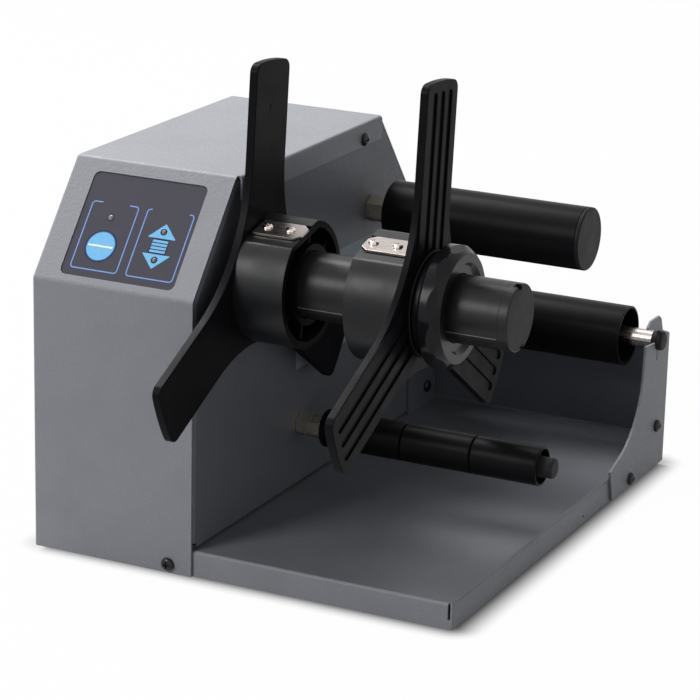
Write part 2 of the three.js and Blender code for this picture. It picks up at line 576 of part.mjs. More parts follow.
// Three-armed flange outline: straight arms with round-cornered tips, joined by hollow curves.
function armsShape() {
  const half = ARM_WIDTH / 2;
  const centreV = half - ARM_CORNER;
  const centreU = Math.sqrt((ARM_REACH - ARM_CORNER) ** 2 - centreV ** 2);
  const lean = Math.atan2(centreV, centreU);
  const between = Math.PI / ARM_COUNT;
  const hollowRadius = (ARM_NECK * Math.sin(between) - half) / (1 - Math.sin(between));
  const hollowReach = ARM_NECK + hollowRadius;
  const shape = new THREE.Shape();
  for (let arm = 0; arm < ARM_COUNT; arm += 1) {
    const turn = ARM_ANGLE * DEG + arm * 2 * between;
    const square = turn - Math.PI / 2;
    const at = (u, v) => [u * Math.cos(turn) - v * Math.sin(turn), u * Math.sin(turn) + v * Math.cos(turn)];
    shape.absarc(...at(centreU, -centreV), ARM_CORNER, square, turn - lean, false);
    shape.absarc(0, 0, ARM_REACH, turn - lean, turn + lean, false);
    shape.absarc(...at(centreU, centreV), ARM_CORNER, turn + lean, square + Math.PI, false);
    const middle = turn + between;
    const centre = [hollowReach * Math.cos(middle), hollowReach * Math.sin(middle)];
    shape.absarc(...centre, hollowRadius, square, square - (Math.PI - 2 * between), true);
  }
  return shape;
}

// Drum that a core slides over, ribbed inside, with a flat and a pocket for its grip plate. It opens at x1
// when side is 1, and at x0 when side is -1.
function drumSolid(x0, x1, side) {
  const { radius, wall, ribs, ribThick, ribSetback, ribTurn } = DRUM;
  const ribEnds = side > 0 ? [x0, x1 - ribSetback] : [x0 + ribSetback, x1];
  const parts = [pipe(x0, x1, radius - wall, radius, 40), pipe(x0, x1, BORE, DRUM_BOSS)];
  for (let rib = 0; rib < ribs; rib += 1) {
    const angle = ARM_ANGLE + ribTurn + rib * (360 / ribs);
    parts.push(blockAt(angle, ...ribEnds, DRUM_BOSS - ROOT, radius - ROOT, -ribThick / 2, ribThick / 2));
  }
  const [ends, rear] = [[x0 - PAST, x1 + PAST], GRIP.front - GRIP.width - GAP];
  const reach = [rear - GRIP.margin, GRIP.front + GRIP.margin];
  const seat = blockAt(GRIP_ANGLE, x0, x1, GRIP_BED - GRIP.pad, GRIP_BED + ROOT, ...reach);
  parts.push(seat.intersect(rod(x0, x1, radius, 40)));
  return cutBy(joined(parts), [
    blockAt(GRIP_ANGLE, ...ends, GRIP_LEVEL, radius + PAST, -radius, radius),
    blockAt(GRIP_ANGLE, ...ends, GRIP_BED, radius + PAST, rear, radius),
  ]);
}

function innerFlangeSolid() {
  const plate = prism(armsShape(), INNER_FLANGE_BACK, INNER_FLANGE_FACE);
  const bore = rod(INNER_FLANGE_BACK - PAST, INNER_FLANGE_FACE + PAST, BORE, 28);
  return plate.subtract(bore).add(drumSolid(INNER_FLANGE_FACE - ROOT, INNER_FLANGE_FACE + DRUM.length, 1));
}

// Lengthwise grooves in the outer flange's arms, round at both ends.
function grooveSolids() {
  const { count, pitch, width, depth, start, end } = GROOVE;
  const radius = width / 2;
  const grooves = [];
  for (let arm = 0; arm < ARM_COUNT; arm += 1) {
    const angle = ARM_ANGLE + arm * (360 / ARM_COUNT);
    for (let k = 0; k < count; k += 1) {
      const v = (k - (count - 1) / 2) * pitch;
      const shape = new THREE.Shape();
      shape.absarc(end - radius, v, radius, -90 * DEG, 90 * DEG, false);
      shape.absarc(start + radius, v, radius, 90 * DEG, 270 * DEG, false);
      const groove = alongX(extruded(shape, depth + PAST, 2), OUTER_FLANGE_FACE - depth);
      grooves.push(solidFrom(groove.rotateX(angle * DEG)));
    }
  }
  return grooves;
}

// Takes the outer face down a little everywhere but on the three straight arms.
function webCutter() {
  const [low, high] = [OUTER_FLANGE_FACE - WEB.drop, OUTER_FLANGE_FACE + PAST];
  const half = ARM_WIDTH / 2 + WEB.margin;
  const beyond = ARM_REACH + 2 * PAST;
  const arms = Array.from({ length: ARM_COUNT }, (_, arm) => (
    blockAt(ARM_ANGLE + arm * (360 / ARM_COUNT), low - PAST, high + PAST, 0, beyond, -half, half)
  ));
  return cutBy(rod(low, high, ARM_REACH + PAST, 24), arms);
}

// Sliding flange: arms, a drum facing the roll and a stepped neck with the knob's collet outside.
function outerFlangeSolid() {
  const face = OUTER_FLANGE_FACE;
  const bore = rod(OUTER_FLANGE_BACK - PAST, face + PAST, BORE, 28);
  const arms = prism(armsShape(), OUTER_FLANGE_BACK, face);
  const plate = cutBy(arms, [bore, webCutter(), ...grooveSolids()]);
  const drum = drumSolid(OUTER_FLANGE_BACK - DRUM.length, OUTER_FLANGE_BACK + ROOT, -1);
  const { radius, length, neckLength, step, stepOut } = COLLET;
  const wide = NECK_RADIUS + stepOut;
  const root = face - WEB.drop - ROOT;
  const neck = turned([
    [root, BORE], [face + length, BORE], [face + length, radius], [face + neckLength, radius],
    [face + neckLength, NECK_RADIUS], [face + step, NECK_RADIUS], [face + step, wide], [root, wide],
  ]);
  return joined([plate, drum, neck]);
}

// Steel plate that springs against a core, in its pocket on a drum, chamfered at its free end.
function gripPlateSolid(freeEnd, side) {
  const { thick, front, width, length, chamfer } = GRIP;
  const fixedEnd = freeEnd - side * length;
  const shoulder = freeEnd - side * chamfer;
  const rear = front - width;
  const shape = shapeOf([
    [front, fixedEnd], [front, shoulder], [front - chamfer, freeEnd],
    [rear + chamfer, freeEnd], [rear, shoulder], [rear, fixedEnd],
  ]);
  const plate = laidAlong(extruded(shape, thick), [0, 0, 1], [1, 0, 0], [0, 1, 0]);
  return solidFrom(plate.translate(0, GRIP_LEVEL - thick, 0).rotateX(GRIP_ANGLE * DEG));
}

// Scalloped ring that draws the collet tight on the spindle.
function knobSolid() {
  const start = OUTER_FLANGE_FACE + COLLET.neckLength + GAP;
  const colletEnd = OUTER_FLANGE_FACE + COLLET.length + GAP;
  const { radius, ring } = KNOB;
  const body = turned([
    [start, COLLET.radius + GAP], [colletEnd, COLLET.radius + GAP], [colletEnd, BORE], [KNOB_END, BORE],
    [KNOB_END, radius - ring], [KNOB_END - ring, radius], [start + ring / 2, radius],
    [start, radius - ring / 2],
  ], 40);
  const cutters = [];
  for (let k = 0; k < SCALLOP.count; k += 1) {
    const half = SCALLOP.width / 2;
    const flat = boxGeometry(-SCALLOP.start, SCALLOP.start + ring, 0, SCALLOP.start, -half, half);
    flat.rotateZ(-SCALLOP.lean * DEG).translate(KNOB_END - SCALLOP.start, radius, 0);
    cutters.push(solidFrom(flat.rotateX((SCALLOP.angle + k * (360 / SCALLOP.count)) * DEG)));
  }
  return cutBy(body, cutters);
}

function spindleTubeSolid() {
  const { radius, wall, hub, plug } = SPINDLE;
  const hubEnd = SPINDLE_START + hub;
  const end = SPINDLE_END - plug;
  return turned([
    [SPINDLE_START, SPINDLE_SHAFT_RADIUS + GAP], [hubEnd, SPINDLE_SHAFT_RADIUS + GAP],
    [hubEnd, radius - wall], [end, radius - wall], [end, radius], [SPINDLE_START, radius],
  ]);
}

// Cap in the spindle's free end, with two finger notches in its rim and a plug that the shaft sits in.
function spindleCapSolid() {
  const { radius, wall, plug, plugLength } = SPINDLE;
  const start = SPINDLE_END - plug + GAP;
  const bore = SPINDLE_SHAFT_RADIUS + GAP;
  const plugRadius = radius - wall - GAP;
  const body = turned([
    [start - plugLength, bore], [start, bore], [start, 0], [SPINDLE_END, 0], [SPINDLE_END, radius - ROOT],
    [SPINDLE_END - ROOT, radius], [start, radius], [start, plugRadius], [start - plugLength, plugRadius],
  ]);
  const { width, depth, length, angles } = SPINDLE_NOTCH;
  const end = SPINDLE_END + PAST;
  return cutBy(body, angles.map((angle) => (
    blockAt(angle, SPINDLE_END - length, end, radius - depth, radius + PAST, -width / 2, width / 2)
  )));
}

function spindleShaftSolid() {
  return rod(PULLEY_PLANE - SHAFT_STUB, SPINDLE_END - SPINDLE.plug, SPINDLE_SHAFT_RADIUS);
}

function bearingSolid(x0) {
  return pipe(x0, x0 + BEARING.width, BEARING.bore, BEARING.outer, 24);
}

const SLEEVE_END = PLATE_INSIDE - GAP;
const SLEEVE_START = SLEEVE_END - BEARING_HOUSING.length;

// Flanged sleeve behind the side plate with a bearing at each end.
function bearingHousingSolid() {
  const { wall, lip, flangeThick, shoulder } = BEARING_HOUSING;
  const pocket = BEARING.outer + GAP;
  const waist = BEARING.outer - shoulder;
  const depth = BEARING.width + GAP;
  const outer = BEARING.outer + wall;
  const flangeStart = SLEEVE_END - flangeThick;
  return turned([
    [SLEEVE_START, pocket], [SLEEVE_START + depth, pocket], [SLEEVE_START + depth, waist],
    [SLEEVE_END - depth, waist], [SLEEVE_END - depth, pocket], [SLEEVE_END, pocket],
    [SLEEVE_END, outer + lip], [flangeStart, outer + lip], [flangeStart, outer], [SLEEVE_START, outer],
  ], 24);
}

function pulleySolid(radius, bore) {
  const { thick, height } = PULLEY_RIM;
  const rim = radius + height;
  const end = PULLEY_PLANE + PULLEY_WIDTH;
  return turned([
    [PULLEY_PLANE, bore], [end, bore], [end, rim], [end - thick, rim], [end - thick, radius],
    [PULLEY_PLANE + thick, radius], [PULLEY_PLANE + thick, rim], [PULLEY_PLANE, rim],
  ], 24);
}

// Loop round both pulleys in the (y, z) plane, at a height above their barrels.
function beltLoop(height) {
  const across = [MOTOR.y - SPINDLE.y, MOTOR.z - SPINDLE.z];
  const heading = Math.atan2(across[1], across[0]);
  const spread = Math.acos((SPINDLE_PULLEY_RADIUS - MOTOR_PULLEY_RADIUS) / Math.hypot(...across));
  const steps = 12;
  const arc = (centre, radius, from, to) => Array.from({ length: steps + 1 }, (_, k) => {
    const angle = from + (to - from) * (k / steps);
    return [centre.y + radius * Math.cos(angle), centre.z + radius * Math.sin(angle)];
  });
  return [
    ...arc(SPINDLE, SPINDLE_PULLEY_RADIUS + height, heading + spread, heading + 2 * Math.PI - spread),
    ...arc(MOTOR, MOTOR_PULLEY_RADIUS + height, heading - spread, heading + spread),
  ];
}

function beltSolid() {
  const shape = shapeOf(beltLoop(GAP + BELT_THICK));
  shape.holes.push(new THREE.Path(beltLoop(GAP).map(([y, z]) => new THREE.Vector2(y, z))));
  const edge = PULLEY_RIM.thick + GAP;
  return prism(shape, PULLEY_PLANE + edge, PULLEY_PLANE + PULLEY_WIDTH - edge);
}

// Gear motor with its output shaft through its bracket towards the left.
function motorSolid() {
  const { gearbox, gearboxLength, radius, length, shaft } = MOTOR;
  const face = MOTOR_BRACKET.x + MOTOR_BRACKET.thick + GAP;
  const canStart = face + gearboxLength;
  const half = gearbox / 2;
  return joined([
    box(face, canStart, -half, half, -half, half),
    rod(canStart - ROOT, canStart + length, radius, 24),
    rod(MOTOR_BRACKET.x, face + ROOT, MOTOR_BRACKET.hole - GAP),
    rod(PULLEY_PLANE, face + ROOT, shaft, 12),
  ]);
}

function motorBracketSolid() {
  const { x, thick, width, above, foot, hole } = MOTOR_BRACKET;
  const [y0, y1] = [MOTOR.y - width / 2, MOTOR.y + width / 2];
  const wall = box(x, x + thick, y0, y1, DECK, MOTOR.z + above);
  const base = box(x, x + foot, y0, y1, DECK, DECK + thick);
  return wall.add(base).subtract(holeAlongX(MOTOR, x, x + thick, hole, 20));
}

// Fixed roller shaft: a nut behind the side plate and a plain rod out to its end.
function rollerShaftSolid(radius, end) {
  const headStart = SLEEVE_END - SHAFT_HEAD.thick;
  return rod(headStart, SLEEVE_END, SHAFT_HEAD.radius, 6).add(rod(headStart, end, radius));
}

function upperRollerSolid() {
  const { radius, length, wall, hub, cap, shaft } = UPPER_ROLLER;
  const hubEnd = UPPER_START + hub;
  const end = UPPER_START + length - cap - GAP;
  return turned([
    [UPPER_START, shaft + GAP], [hubEnd, shaft + GAP], [hubEnd, radius - wall], [end, radius - wall],
    [end, radius], [UPPER_START + ROOT, radius], [UPPER_START, radius - ROOT],
  ]);
}

function upperCapSolid() {
  const { radius, length, wall, cap, plug, shaft } = UPPER_ROLLER;
  const end = UPPER_START + length;
  const start = end - cap;
  const plugRadius = radius - wall - GAP;
  return turned([
    [start - plug, shaft + GAP], [start, shaft + GAP], [start, 0], [end, 0], [end, radius - ROOT],
    [end - ROOT, radius], [start, radius], [start, plugRadius], [start - plug, plugRadius],
  ]);
}

function rearShaftSolid() {
  const { pin, pinLength } = REAR_CAP;
  const shaft = rollerShaftSolid(REAR_ROLLER.shaft, BRACKET_OUTSIDE);
  return shaft.add(rod(BRACKET_OUTSIDE - ROOT, BRACKET_OUTSIDE + pinLength, pin, 12));
}

function rearCapSolid() {
  const { radius, length, pin, pinLength } = REAR_CAP;
  const start = BRACKET_OUTSIDE + GAP;
  const end = start + length;
  const bottom = BRACKET_OUTSIDE + pinLength + GAP;
  return turned([
    [start, pin + GAP], [bottom, pin + GAP], [bottom, 0], [end, 0], [end, radius * 0.7],
    [end - ROOT, radius], [start, radius],
  ], 20);
}

function rearRollerSolid() {
  const { radius, wall } = REAR_ROLLER;
  return pipe(REAR_START, REAR_END, radius - wall, radius);
}

function rearBushSolid(x0) {
  const { radius, wall, bush, shaft } = REAR_ROLLER;
  return pipe(x0, x0 + bush, shaft + GAP, radius - wall - GAP, 24);
}

// One segment of the lower roller. The last one shows a rim and a hollow at its end.
function lowerRollerSolid(start, length, openEnd) {
  const { radius, edge, shaft } = LOWER_ROLLER;
  const end = start + length;
  const body = turned([
    [start, shaft + GAP], [end, shaft + GAP], [end, radius - edge], [end - edge, radius],
    [start + edge, radius], [start, radius - edge],
  ], 24);
  const { depth, rim, boss } = LOWER_HOLLOW;
  if (!openEnd) return body;
  return body.subtract(pipe(end - depth, end + PAST, LOWER_CAP.radius + boss, radius - rim, 24));
}

function lowerRollerEnd() {
  const { lengths, gap } = LOWER_ROLLER;
  return LOWER_START + lengths.reduce((sum, length) => sum + length, 0) + gap * (lengths.length - 1);
}

function lowerCapSolid() {
  const { radius, length, closed } = LOWER_CAP;
  const start = lowerRollerEnd() + GAP;
  const end = start + length;
  const bore = LOWER_ROLLER.shaft + GAP;
  return turned([
    [start, bore], [end - closed, bore], [end - closed, 0], [end, 0], [end, radius - ROOT],
    [end - ROOT, radius], [start, radius],
  ], 20);
}

// Round socket for the supply's plug, set in the cover's rear.
function inletSolid() {
  const { x, z, flange, body, bore, pin, proud, depth, floor } = INLET;
  const inner = HOUSING_DEPTH - depth;
  const outer = REAR_SEAT + proud;
  const rim = rodAlongY(REAR_SEAT, outer, flange, x, z);
  const socket = rim.add(rodAlongY(inner, REAR_SEAT + ROOT, body, x, z));
  const well = rodAlongY(inner + floor, outer + PAST, bore, x, z, 12);
  return socket.subtract(well).add(rodAlongY(inner + ROOT, HOUSING_DEPTH, pin, x, z, 8));
}

function switchSolid() {
  const { x, z, width, height, lip, rim, depth, well } = SWITCH;
  const front = REAR_SEAT + lip;
  const centredBox = (shrink, y0, y1) => {
    const [w, h] = [width / 2 - shrink, height / 2 - shrink];
    return box(x - w, x + w, y0, y1, z - h, z + h);
  };
  const bezel = centredBox(0, REAR_SEAT, front);
  const body = centredBox(rim / 2, HOUSING_DEPTH - depth, REAR_SEAT + ROOT);
  return bezel.add(body).subtract(centredBox(rim, front - well, front + PAST));
}

// Rocker in its own frame: X along it, Y outwards, pivot at the origin.
function rockerSolid() {
  const { length, raised, middle, under } = ROCKER;
  const half = length / 2;
  const shape = shapeOf([[-half, -under], [half, -under], [half, raised], [0, middle], [-half, raised]]);
  const depth = SWITCH.height - 2 * SWITCH.rim - 2 * GAP;
  return solidFrom(extruded(shape, depth).translate(0, 0, -depth / 2));
}

function finish(color, roughness, metalness) {
  return () => new THREE.MeshStandardMaterial({ color, roughness, metalness });
}

const FINISHES = {
  paint: finish(0x83868d, 0.55, 0.35),
  darkPlastic: finish(0x1d1d20, 0.4, 0),
  rollerPlastic: finish(0x2b2b2e, 0.25, 0),
  spindleMetal: finish(0x3c3c3e, 0.3, 0.6),
  steel: finish(0xc0b8b5, 0.28, 1),
  screwBlack: finish(0x202022, 0.4, 0.6),
  rubber: finish(0x18181a, 0.85, 0),
  panel: finish(0x4a4955, 0.45, 0),
  panelBlue: finish(0x4ba0d7, 0.45, 0),
  lens: finish(0x6d6c74, 0.2, 0),
  board: finish(0x1f5a3a, 0.6, 0),
  casting: finish(0x8d9095, 0.5, 0.8),
  belt: finish(0x151516, 0.8, 0),
};

const machine = new THREE.Group();

// Adds a named mesh of a solid to a group.
function place(group, name, solid, kind) {
  const mesh = new THREE.Mesh(geometryFrom(solid), FINISHES[kind]());
  mesh.name = name;
  group.add(mesh);
  return mesh;
}

function groupAt(x, y, z) {
  const group = new THREE.Group();
  group.position.set(x, y, z);
  machine.add(group);
  return group;
}

function addHousing() {
  place(machine, "cover", coverSolid(), "paint");
  place(machine, "side_plate", sidePlateSolid(), "paint");
  place(machine, "base_tray", traySolid(), "paint");
  place(machine, "right_bracket", bracketSolid(), "paint");
  const across = [FOOT_INSET, TRAY_RIGHT - FOOT_INSET];
  const along = [FOOT_INSET, HOUSING_DEPTH - FOOT_INSET];
  across.flatMap((x) => along.map((y) => [x, y])).forEach(([x, y], index) => {
    place(machine, `foot_${index + 1}`, footSolid(), "rubber").position.set(x, y, 0);
  });
}

function addScrews() {
  const front = place(machine, "cover_screw", screwSolid(), "screwBlack");
  front.rotation.z = -90 * DEG;
  front.position.set(FRONT_SCREW.x, -GAP, FRONT_SCREW.z);
  const sideways = (name, face, { y, z }) => {
    place(machine, name, screwSolid(), "screwBlack").position.set(face + GAP, y, z);
  };
  STRIP_SCREWS.forEach((spot, index) => sideways(`strip_screw_${index + 1}`, STRIP_OUTSIDE, spot));
  sideways("tab_screw", STRIP_OUTSIDE, TAB_SCREW);
  BRACKET_SCREWS.forEach((spot, index) => sideways(`bracket_screw_${index + 1}`, BRACKET_OUTSIDE, spot));
}

function addPanel() {
  const slope = groupAt(0, 0, FRONT_HEIGHT);
  slope.rotation.x = SLOPE_ANGLE;
  place(slope, "control_panel", panelSolid(), "panel");
  place(slope, "start_stop_button", startButtonSolid(), "panelBlue");
  place(slope, "direction_button", directionButtonSolid(), "panelBlue");
  Object.entries(LAMPS).forEach(([name, lamp]) => place(slope, name, lampSolid(lamp), "lens"));
  place(slope, "circuit_board", boardSolid(), "board");
}

function addReel() {
  const reel = groupAt(0, SPINDLE.y, SPINDLE.z);
  place(reel, "spindle_shaft", spindleShaftSolid(), "steel");
  place(reel, "spindle_tube", spindleTubeSolid(), "spindleMetal");
  place(reel, "spindle_end_cap", spindleCapSolid(), "darkPlastic");
  place(reel, "inner_flange", innerFlangeSolid(), "darkPlastic");
  place(reel, "outer_flange", outerFlangeSolid(), "darkPlastic");
  place(reel, "lock_knob", knobSolid(), "darkPlastic");
  place(reel, "inner_grip_plate", gripPlateSolid(INNER_FLANGE_FACE + DRUM.length, 1), "steel");
  place(reel, "outer_grip_plate", gripPlateSolid(OUTER_FLANGE_BACK - DRUM.length, -1), "steel");
  place(reel, "spindle_pulley", pulleySolid(SPINDLE_PULLEY_RADIUS, SPINDLE_SHAFT_RADIUS + GAP), "casting");
  place(reel, "bearing_housing", bearingHousingSolid(), "casting");
  place(reel, "bearing_left", bearingSolid(SLEEVE_START), "steel");
  place(reel, "bearing_right", bearingSolid(SLEEVE_END - BEARING.width), "steel");
}

function addDrive() {
  const motor = groupAt(0, MOTOR.y, MOTOR.z);
  place(motor, "gear_motor", motorSolid(), "casting");
  place(motor, "motor_pulley", pulleySolid(MOTOR_PULLEY_RADIUS, MOTOR.shaft + GAP), "casting");
  place(machine, "motor_bracket", motorBracketSolid(), "paint");
  place(machine, "drive_belt", beltSolid(), "belt");
}

function addUpperRoller() {
  const { y, z, length, cap, shaft } = UPPER_ROLLER;
  const group = groupAt(0, y, z);
  place(group, "upper_roller", upperRollerSolid(), "rollerPlastic");
  place(group, "upper_roller_cap", upperCapSolid(), "darkPlastic");
  place(group, "upper_roller_shaft", rollerShaftSolid(shaft, UPPER_START + length - cap - GAP), "steel");
  const nut = hexagon(OUTSIDE_PLATE, UPPER_START - GAP, ROLLER_NUT_FLATS, shaft + GAP);
  place(group, "upper_roller_nut", nut, "steel");
}

function addRearRoller() {
  const { y, z, setback, bush } = REAR_ROLLER;
  const group = groupAt(0, y, z);
  place(group, "rear_roller", rearRollerSolid(), "rollerPlastic");
  place(group, "rear_bush_left", rearBushSolid(REAR_START), "darkPlastic");
  place(group, "rear_bush_right", rearBushSolid(REAR_END - setback - bush), "darkPlastic");
  place(group, "rear_roller_shaft", rearShaftSolid(), "steel");
  place(group, "rear_shaft_cap", rearCapSolid(), "rubber");
}

function addLowerRoller() {
  const { y, z, lengths, gap, shaft } = LOWER_ROLLER;
  const group = groupAt(0, y, z);
  let from = LOWER_START;
  lengths.forEach((length, index) => {
    const last = index === lengths.length - 1;
    place(group, `lower_roller_${index + 1}`, lowerRollerSolid(from, length, last), "rollerPlastic");
    from += length + gap;
  });
  const shaftEnd = lowerRollerEnd() + LOWER_CAP.length - LOWER_CAP.closed;
  place(group, "lower_roller_shaft", rollerShaftSolid(shaft, shaftEnd), "steel");
  const nut = hexagon(OUTSIDE_PLATE, LOWER_START - GAP, LOWER_NUT_FLATS, shaft + GAP);
  place(group, "lower_roller_nut", nut, "steel");
  place(group, "lower_end_cap", lowerCapSolid(), "rubber");
}

function addSockets() {
  place(machine, "power_inlet", inletSolid(), "darkPlastic");
  place(machine, "power_switch", switchSolid(), "darkPlastic");
  const rocker = place(machine, "power_rocker", rockerSolid(), "darkPlastic");
  rocker.position.set(SWITCH.x, REAR_SEAT + SWITCH.lip - ROCKER.pivot, SWITCH.z);
  rocker.rotation.z = -ROCKER.tilt * DEG;
}

addHousing();
addScrews();
addPanel();
addReel();
addDrive();
addUpperRoller();
addRearRoller();
addLowerRoller();
addSockets();

// The part's own origin is the middle of its box at the level of the feet.
const bounds = new THREE.Box3().setFromObject(machine, true);
const middle = bounds.getCenter(new THREE.Vector3());
machine.position.set(-middle.x, -middle.y, -bounds.min.z);

export default machine;
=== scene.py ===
import json
import math

import bmesh
import bpy
from mathutils import Matrix, Vector


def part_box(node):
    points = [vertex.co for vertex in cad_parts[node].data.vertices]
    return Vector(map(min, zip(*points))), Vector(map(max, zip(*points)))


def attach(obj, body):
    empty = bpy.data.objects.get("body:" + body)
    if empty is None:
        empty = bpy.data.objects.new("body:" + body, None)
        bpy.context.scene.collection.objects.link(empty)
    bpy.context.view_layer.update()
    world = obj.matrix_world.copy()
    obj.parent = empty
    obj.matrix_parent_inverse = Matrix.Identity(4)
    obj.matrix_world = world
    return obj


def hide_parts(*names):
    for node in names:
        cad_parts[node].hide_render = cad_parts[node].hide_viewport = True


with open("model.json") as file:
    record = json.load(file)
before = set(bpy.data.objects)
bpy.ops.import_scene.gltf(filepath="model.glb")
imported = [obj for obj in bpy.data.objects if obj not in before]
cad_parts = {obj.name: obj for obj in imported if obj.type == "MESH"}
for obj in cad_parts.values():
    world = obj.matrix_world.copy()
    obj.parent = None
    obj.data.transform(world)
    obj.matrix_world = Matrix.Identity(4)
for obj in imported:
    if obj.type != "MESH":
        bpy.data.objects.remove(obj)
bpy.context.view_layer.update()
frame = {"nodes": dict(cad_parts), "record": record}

# Powered label rewinder. Lengths are millimetres in the housing's frame, whose origin is the cover's front
# left bottom corner, with X along the spindle, Y to the back and Z up.
MM = 0.001
TO_ROW = Matrix.Translation(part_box("cover")[0]) @ Matrix.Scale(MM, 4)
NODE_SLOTS = {part["node"]: part["material_slot"] for part in frame["record"]["subparts"]}

# Sheet metal and clearances
SHEET = 1.5
GAP = 0.3
PAST = 2.0  # a cutter's reach beyond the face that it cuts
CUT_DEPTH = 4.0  # a cutter's reach into the sheet metal
NEAR = 0.1  # tolerance for choosing faces and corners by their place
OVERLAP = 0.5  # how far pieces of one moulding run into each other

# Roundings of edges, and the angle in degrees from which an edge is a bend of the sheet
FINE_EDGE = 0.15
CUT_EDGE = 0.2
SHEET_EDGE = 0.25
WALL_EDGE = 0.3
COVER_BEND = 1.7
SIDE_BEND = 2.2
TRAY_BEND = 2.0
BEND_ANGLE = 20

# Segments round turned pieces
SMOOTH = 128
ROUND = 96
SMALL = 64
TINY = 40

# Housing
WIDTH = 108.0
HEIGHT = 230.0
DEPTH = 339.0
FRONT_HEIGHT = 167.0
SLOPE_RUN = 51.0
TOP_LENGTH = 190.0
SLOPE_ANGLE = math.atan2(HEIGHT - FRONT_HEIGHT, SLOPE_RUN)
COVER_RIGHT = WIDTH - 1.0
TOP_RIM = 2.0  # the top's right rim stays sharp this far down, against the strip
FLANGE_DEPTH = 10.0
STRIP_HEIGHT = 14.5
STRIP_INSET = 2.0
STRIP_OUTSIDE = WIDTH + GAP + SHEET
STRIP_BENDS = (0.6, 2.2)
INLET = (32, 45)
INLET_RADIUS = 5.5
SWITCH_HOLE = (60.7, 80.3, 38.7, 51.3)
LABEL = (128.5, 230, 92, 155)
LABEL_CORNER = 0.5
LABEL_THICK = 0.15
NOTCH = 4.0
SPINDLE_HOLE = 11.75

# Tray
TRAY_RIGHT = WIDTH + 165.4
TRAY_HEIGHT = 16.0
TRAY_SUNK = TRAY_HEIGHT - 1.0  # where the walls start, inside the floor's sheet
BACK_WALL_TOP = 79.0
TAB_END = DEPTH - 4.5
TAB_START = TAB_END - 42.5
TAB_TOP = TRAY_HEIGHT + 26.0
TAB_CORNER = 1.5
TRAY_EDGE = SHEET + GAP
TRAY_REAR = DEPTH - TRAY_EDGE
SLIT_X = (TRAY_RIGHT - 2.8, TRAY_RIGHT - 1.2)
SLIT_DEPTH = SHEET + 0.4
SLIT_LOW = 6.1
LIP_HOLE = (197.4, 199.4, 3.4, 5.4)
RELIEF_X = (WIDTH + 0.4, WIDTH + 3.0)
RELIEFS = (TAB_START, TAB_END + 1.1)
RELIEF_HALF = 1.0
RELIEF_LOW = 10.0
BRACKET_OUTSIDE = TRAY_RIGHT + GAP + SHEET

# Screws: pan heads, with domes in shares of height and radius, and their places. A cross recess has a
# start, an end, half the slot's width and the arm's length.
SCREW_RADIUS = 4.0
SCREW_HEIGHT = 2.6
SCREW_SHANK = 2.0
SCREW_DEPTH = 6.0
SCREW_HOLE = 2.3
SCREW_DOME = ((0.45, 1), (0.75, 0.88), (0.93, 0.6), (1, 0.25), (1, 0))
SCREW_CROSS = (1.04, 3.6, 0.52, 2.2)
FRONT_SCREW = (WIDTH - 16.2, 5.5)
SIDE_SCREWS = {
    "strip_screw_1": (STRIP_OUTSIDE, SLOPE_RUN + 162, HEIGHT - 10.2),
    "strip_screw_2": (STRIP_OUTSIDE, SLOPE_RUN + 28, HEIGHT - 10.2),
    "tab_screw": (STRIP_OUTSIDE, TAB_START + 27.3, TRAY_HEIGHT + 12.5),
    "bracket_screw_1": (BRACKET_OUTSIDE, TAB_START + 25.5, TRAY_HEIGHT + 12.9),
    "bracket_screw_2": (BRACKET_OUTSIDE, 273.4, 6.1),
}

# Panel on the front slope: places are across and along the slope, levels are above its face
SLOPE_FRAME = Matrix.Translation((0, 0, FRONT_HEIGHT)) @ Matrix.Rotation(SLOPE_ANGLE, 4, "X")
PANEL = {"left": 16.6, "bottom": 5.4, "width": 75.2, "height": 66.6, "corner": 4.0}
PANEL_FACE = -0.4
PANEL_RIM = 3.0
RIM_FACE = -SHEET - GAP - 0.01
PANEL_BACK = -SHEET - GAP - 2.5
KEY_BACK = PANEL_BACK - 1.5
PRINT_DEPTH = 0.2
PRINT_RISE = 0.06
KEY_SUNK = 0.02
START_RISE = 0.05
DISC_RISE = 0.08
LINE_RISE = 0.12
START_KEY = (36.7, 25.5)
START_RADIUS = 9.8
START_DISC = 9.0
START_LINE = {"left": 8.2, "right": 8.0, "half": 0.55}
DIRECTION_KEY = (73.6, 30.9)
DIRECTION_HALF = (5.2, 4.2)
STRIPE = {"half": 5.1, "height": 1.45, "pitch": 2.15, "first": -4.0}
ARROW = {"half": 9.3, "base": 5.1, "tip": 14.4, "hole": 2.2}
LAMPS = {"status_led": (36.7, 44.1, 1.9), "up_led": (73.6, 40.1, 1.5), "down_led": (73.6, 22.2, 1.5)}
LAMP_DEPTH = 6.0
LAMP_DOME = ((0, 1), (0.25, 0.85), (0.5, 0.5), (0.58, 0))  # height, share of the radius
FRAME_LOW = 9.8
FRAME_HIGH = 53.5
FRAME_LINE = 0.7
FRAME_CORNER = 2.4
FRAMES = {"status": (21.3, 52.9, 28.4, 46.3), "direction": (58.4, 89.7, 61.4, 86.0)}  # sides, then the gap

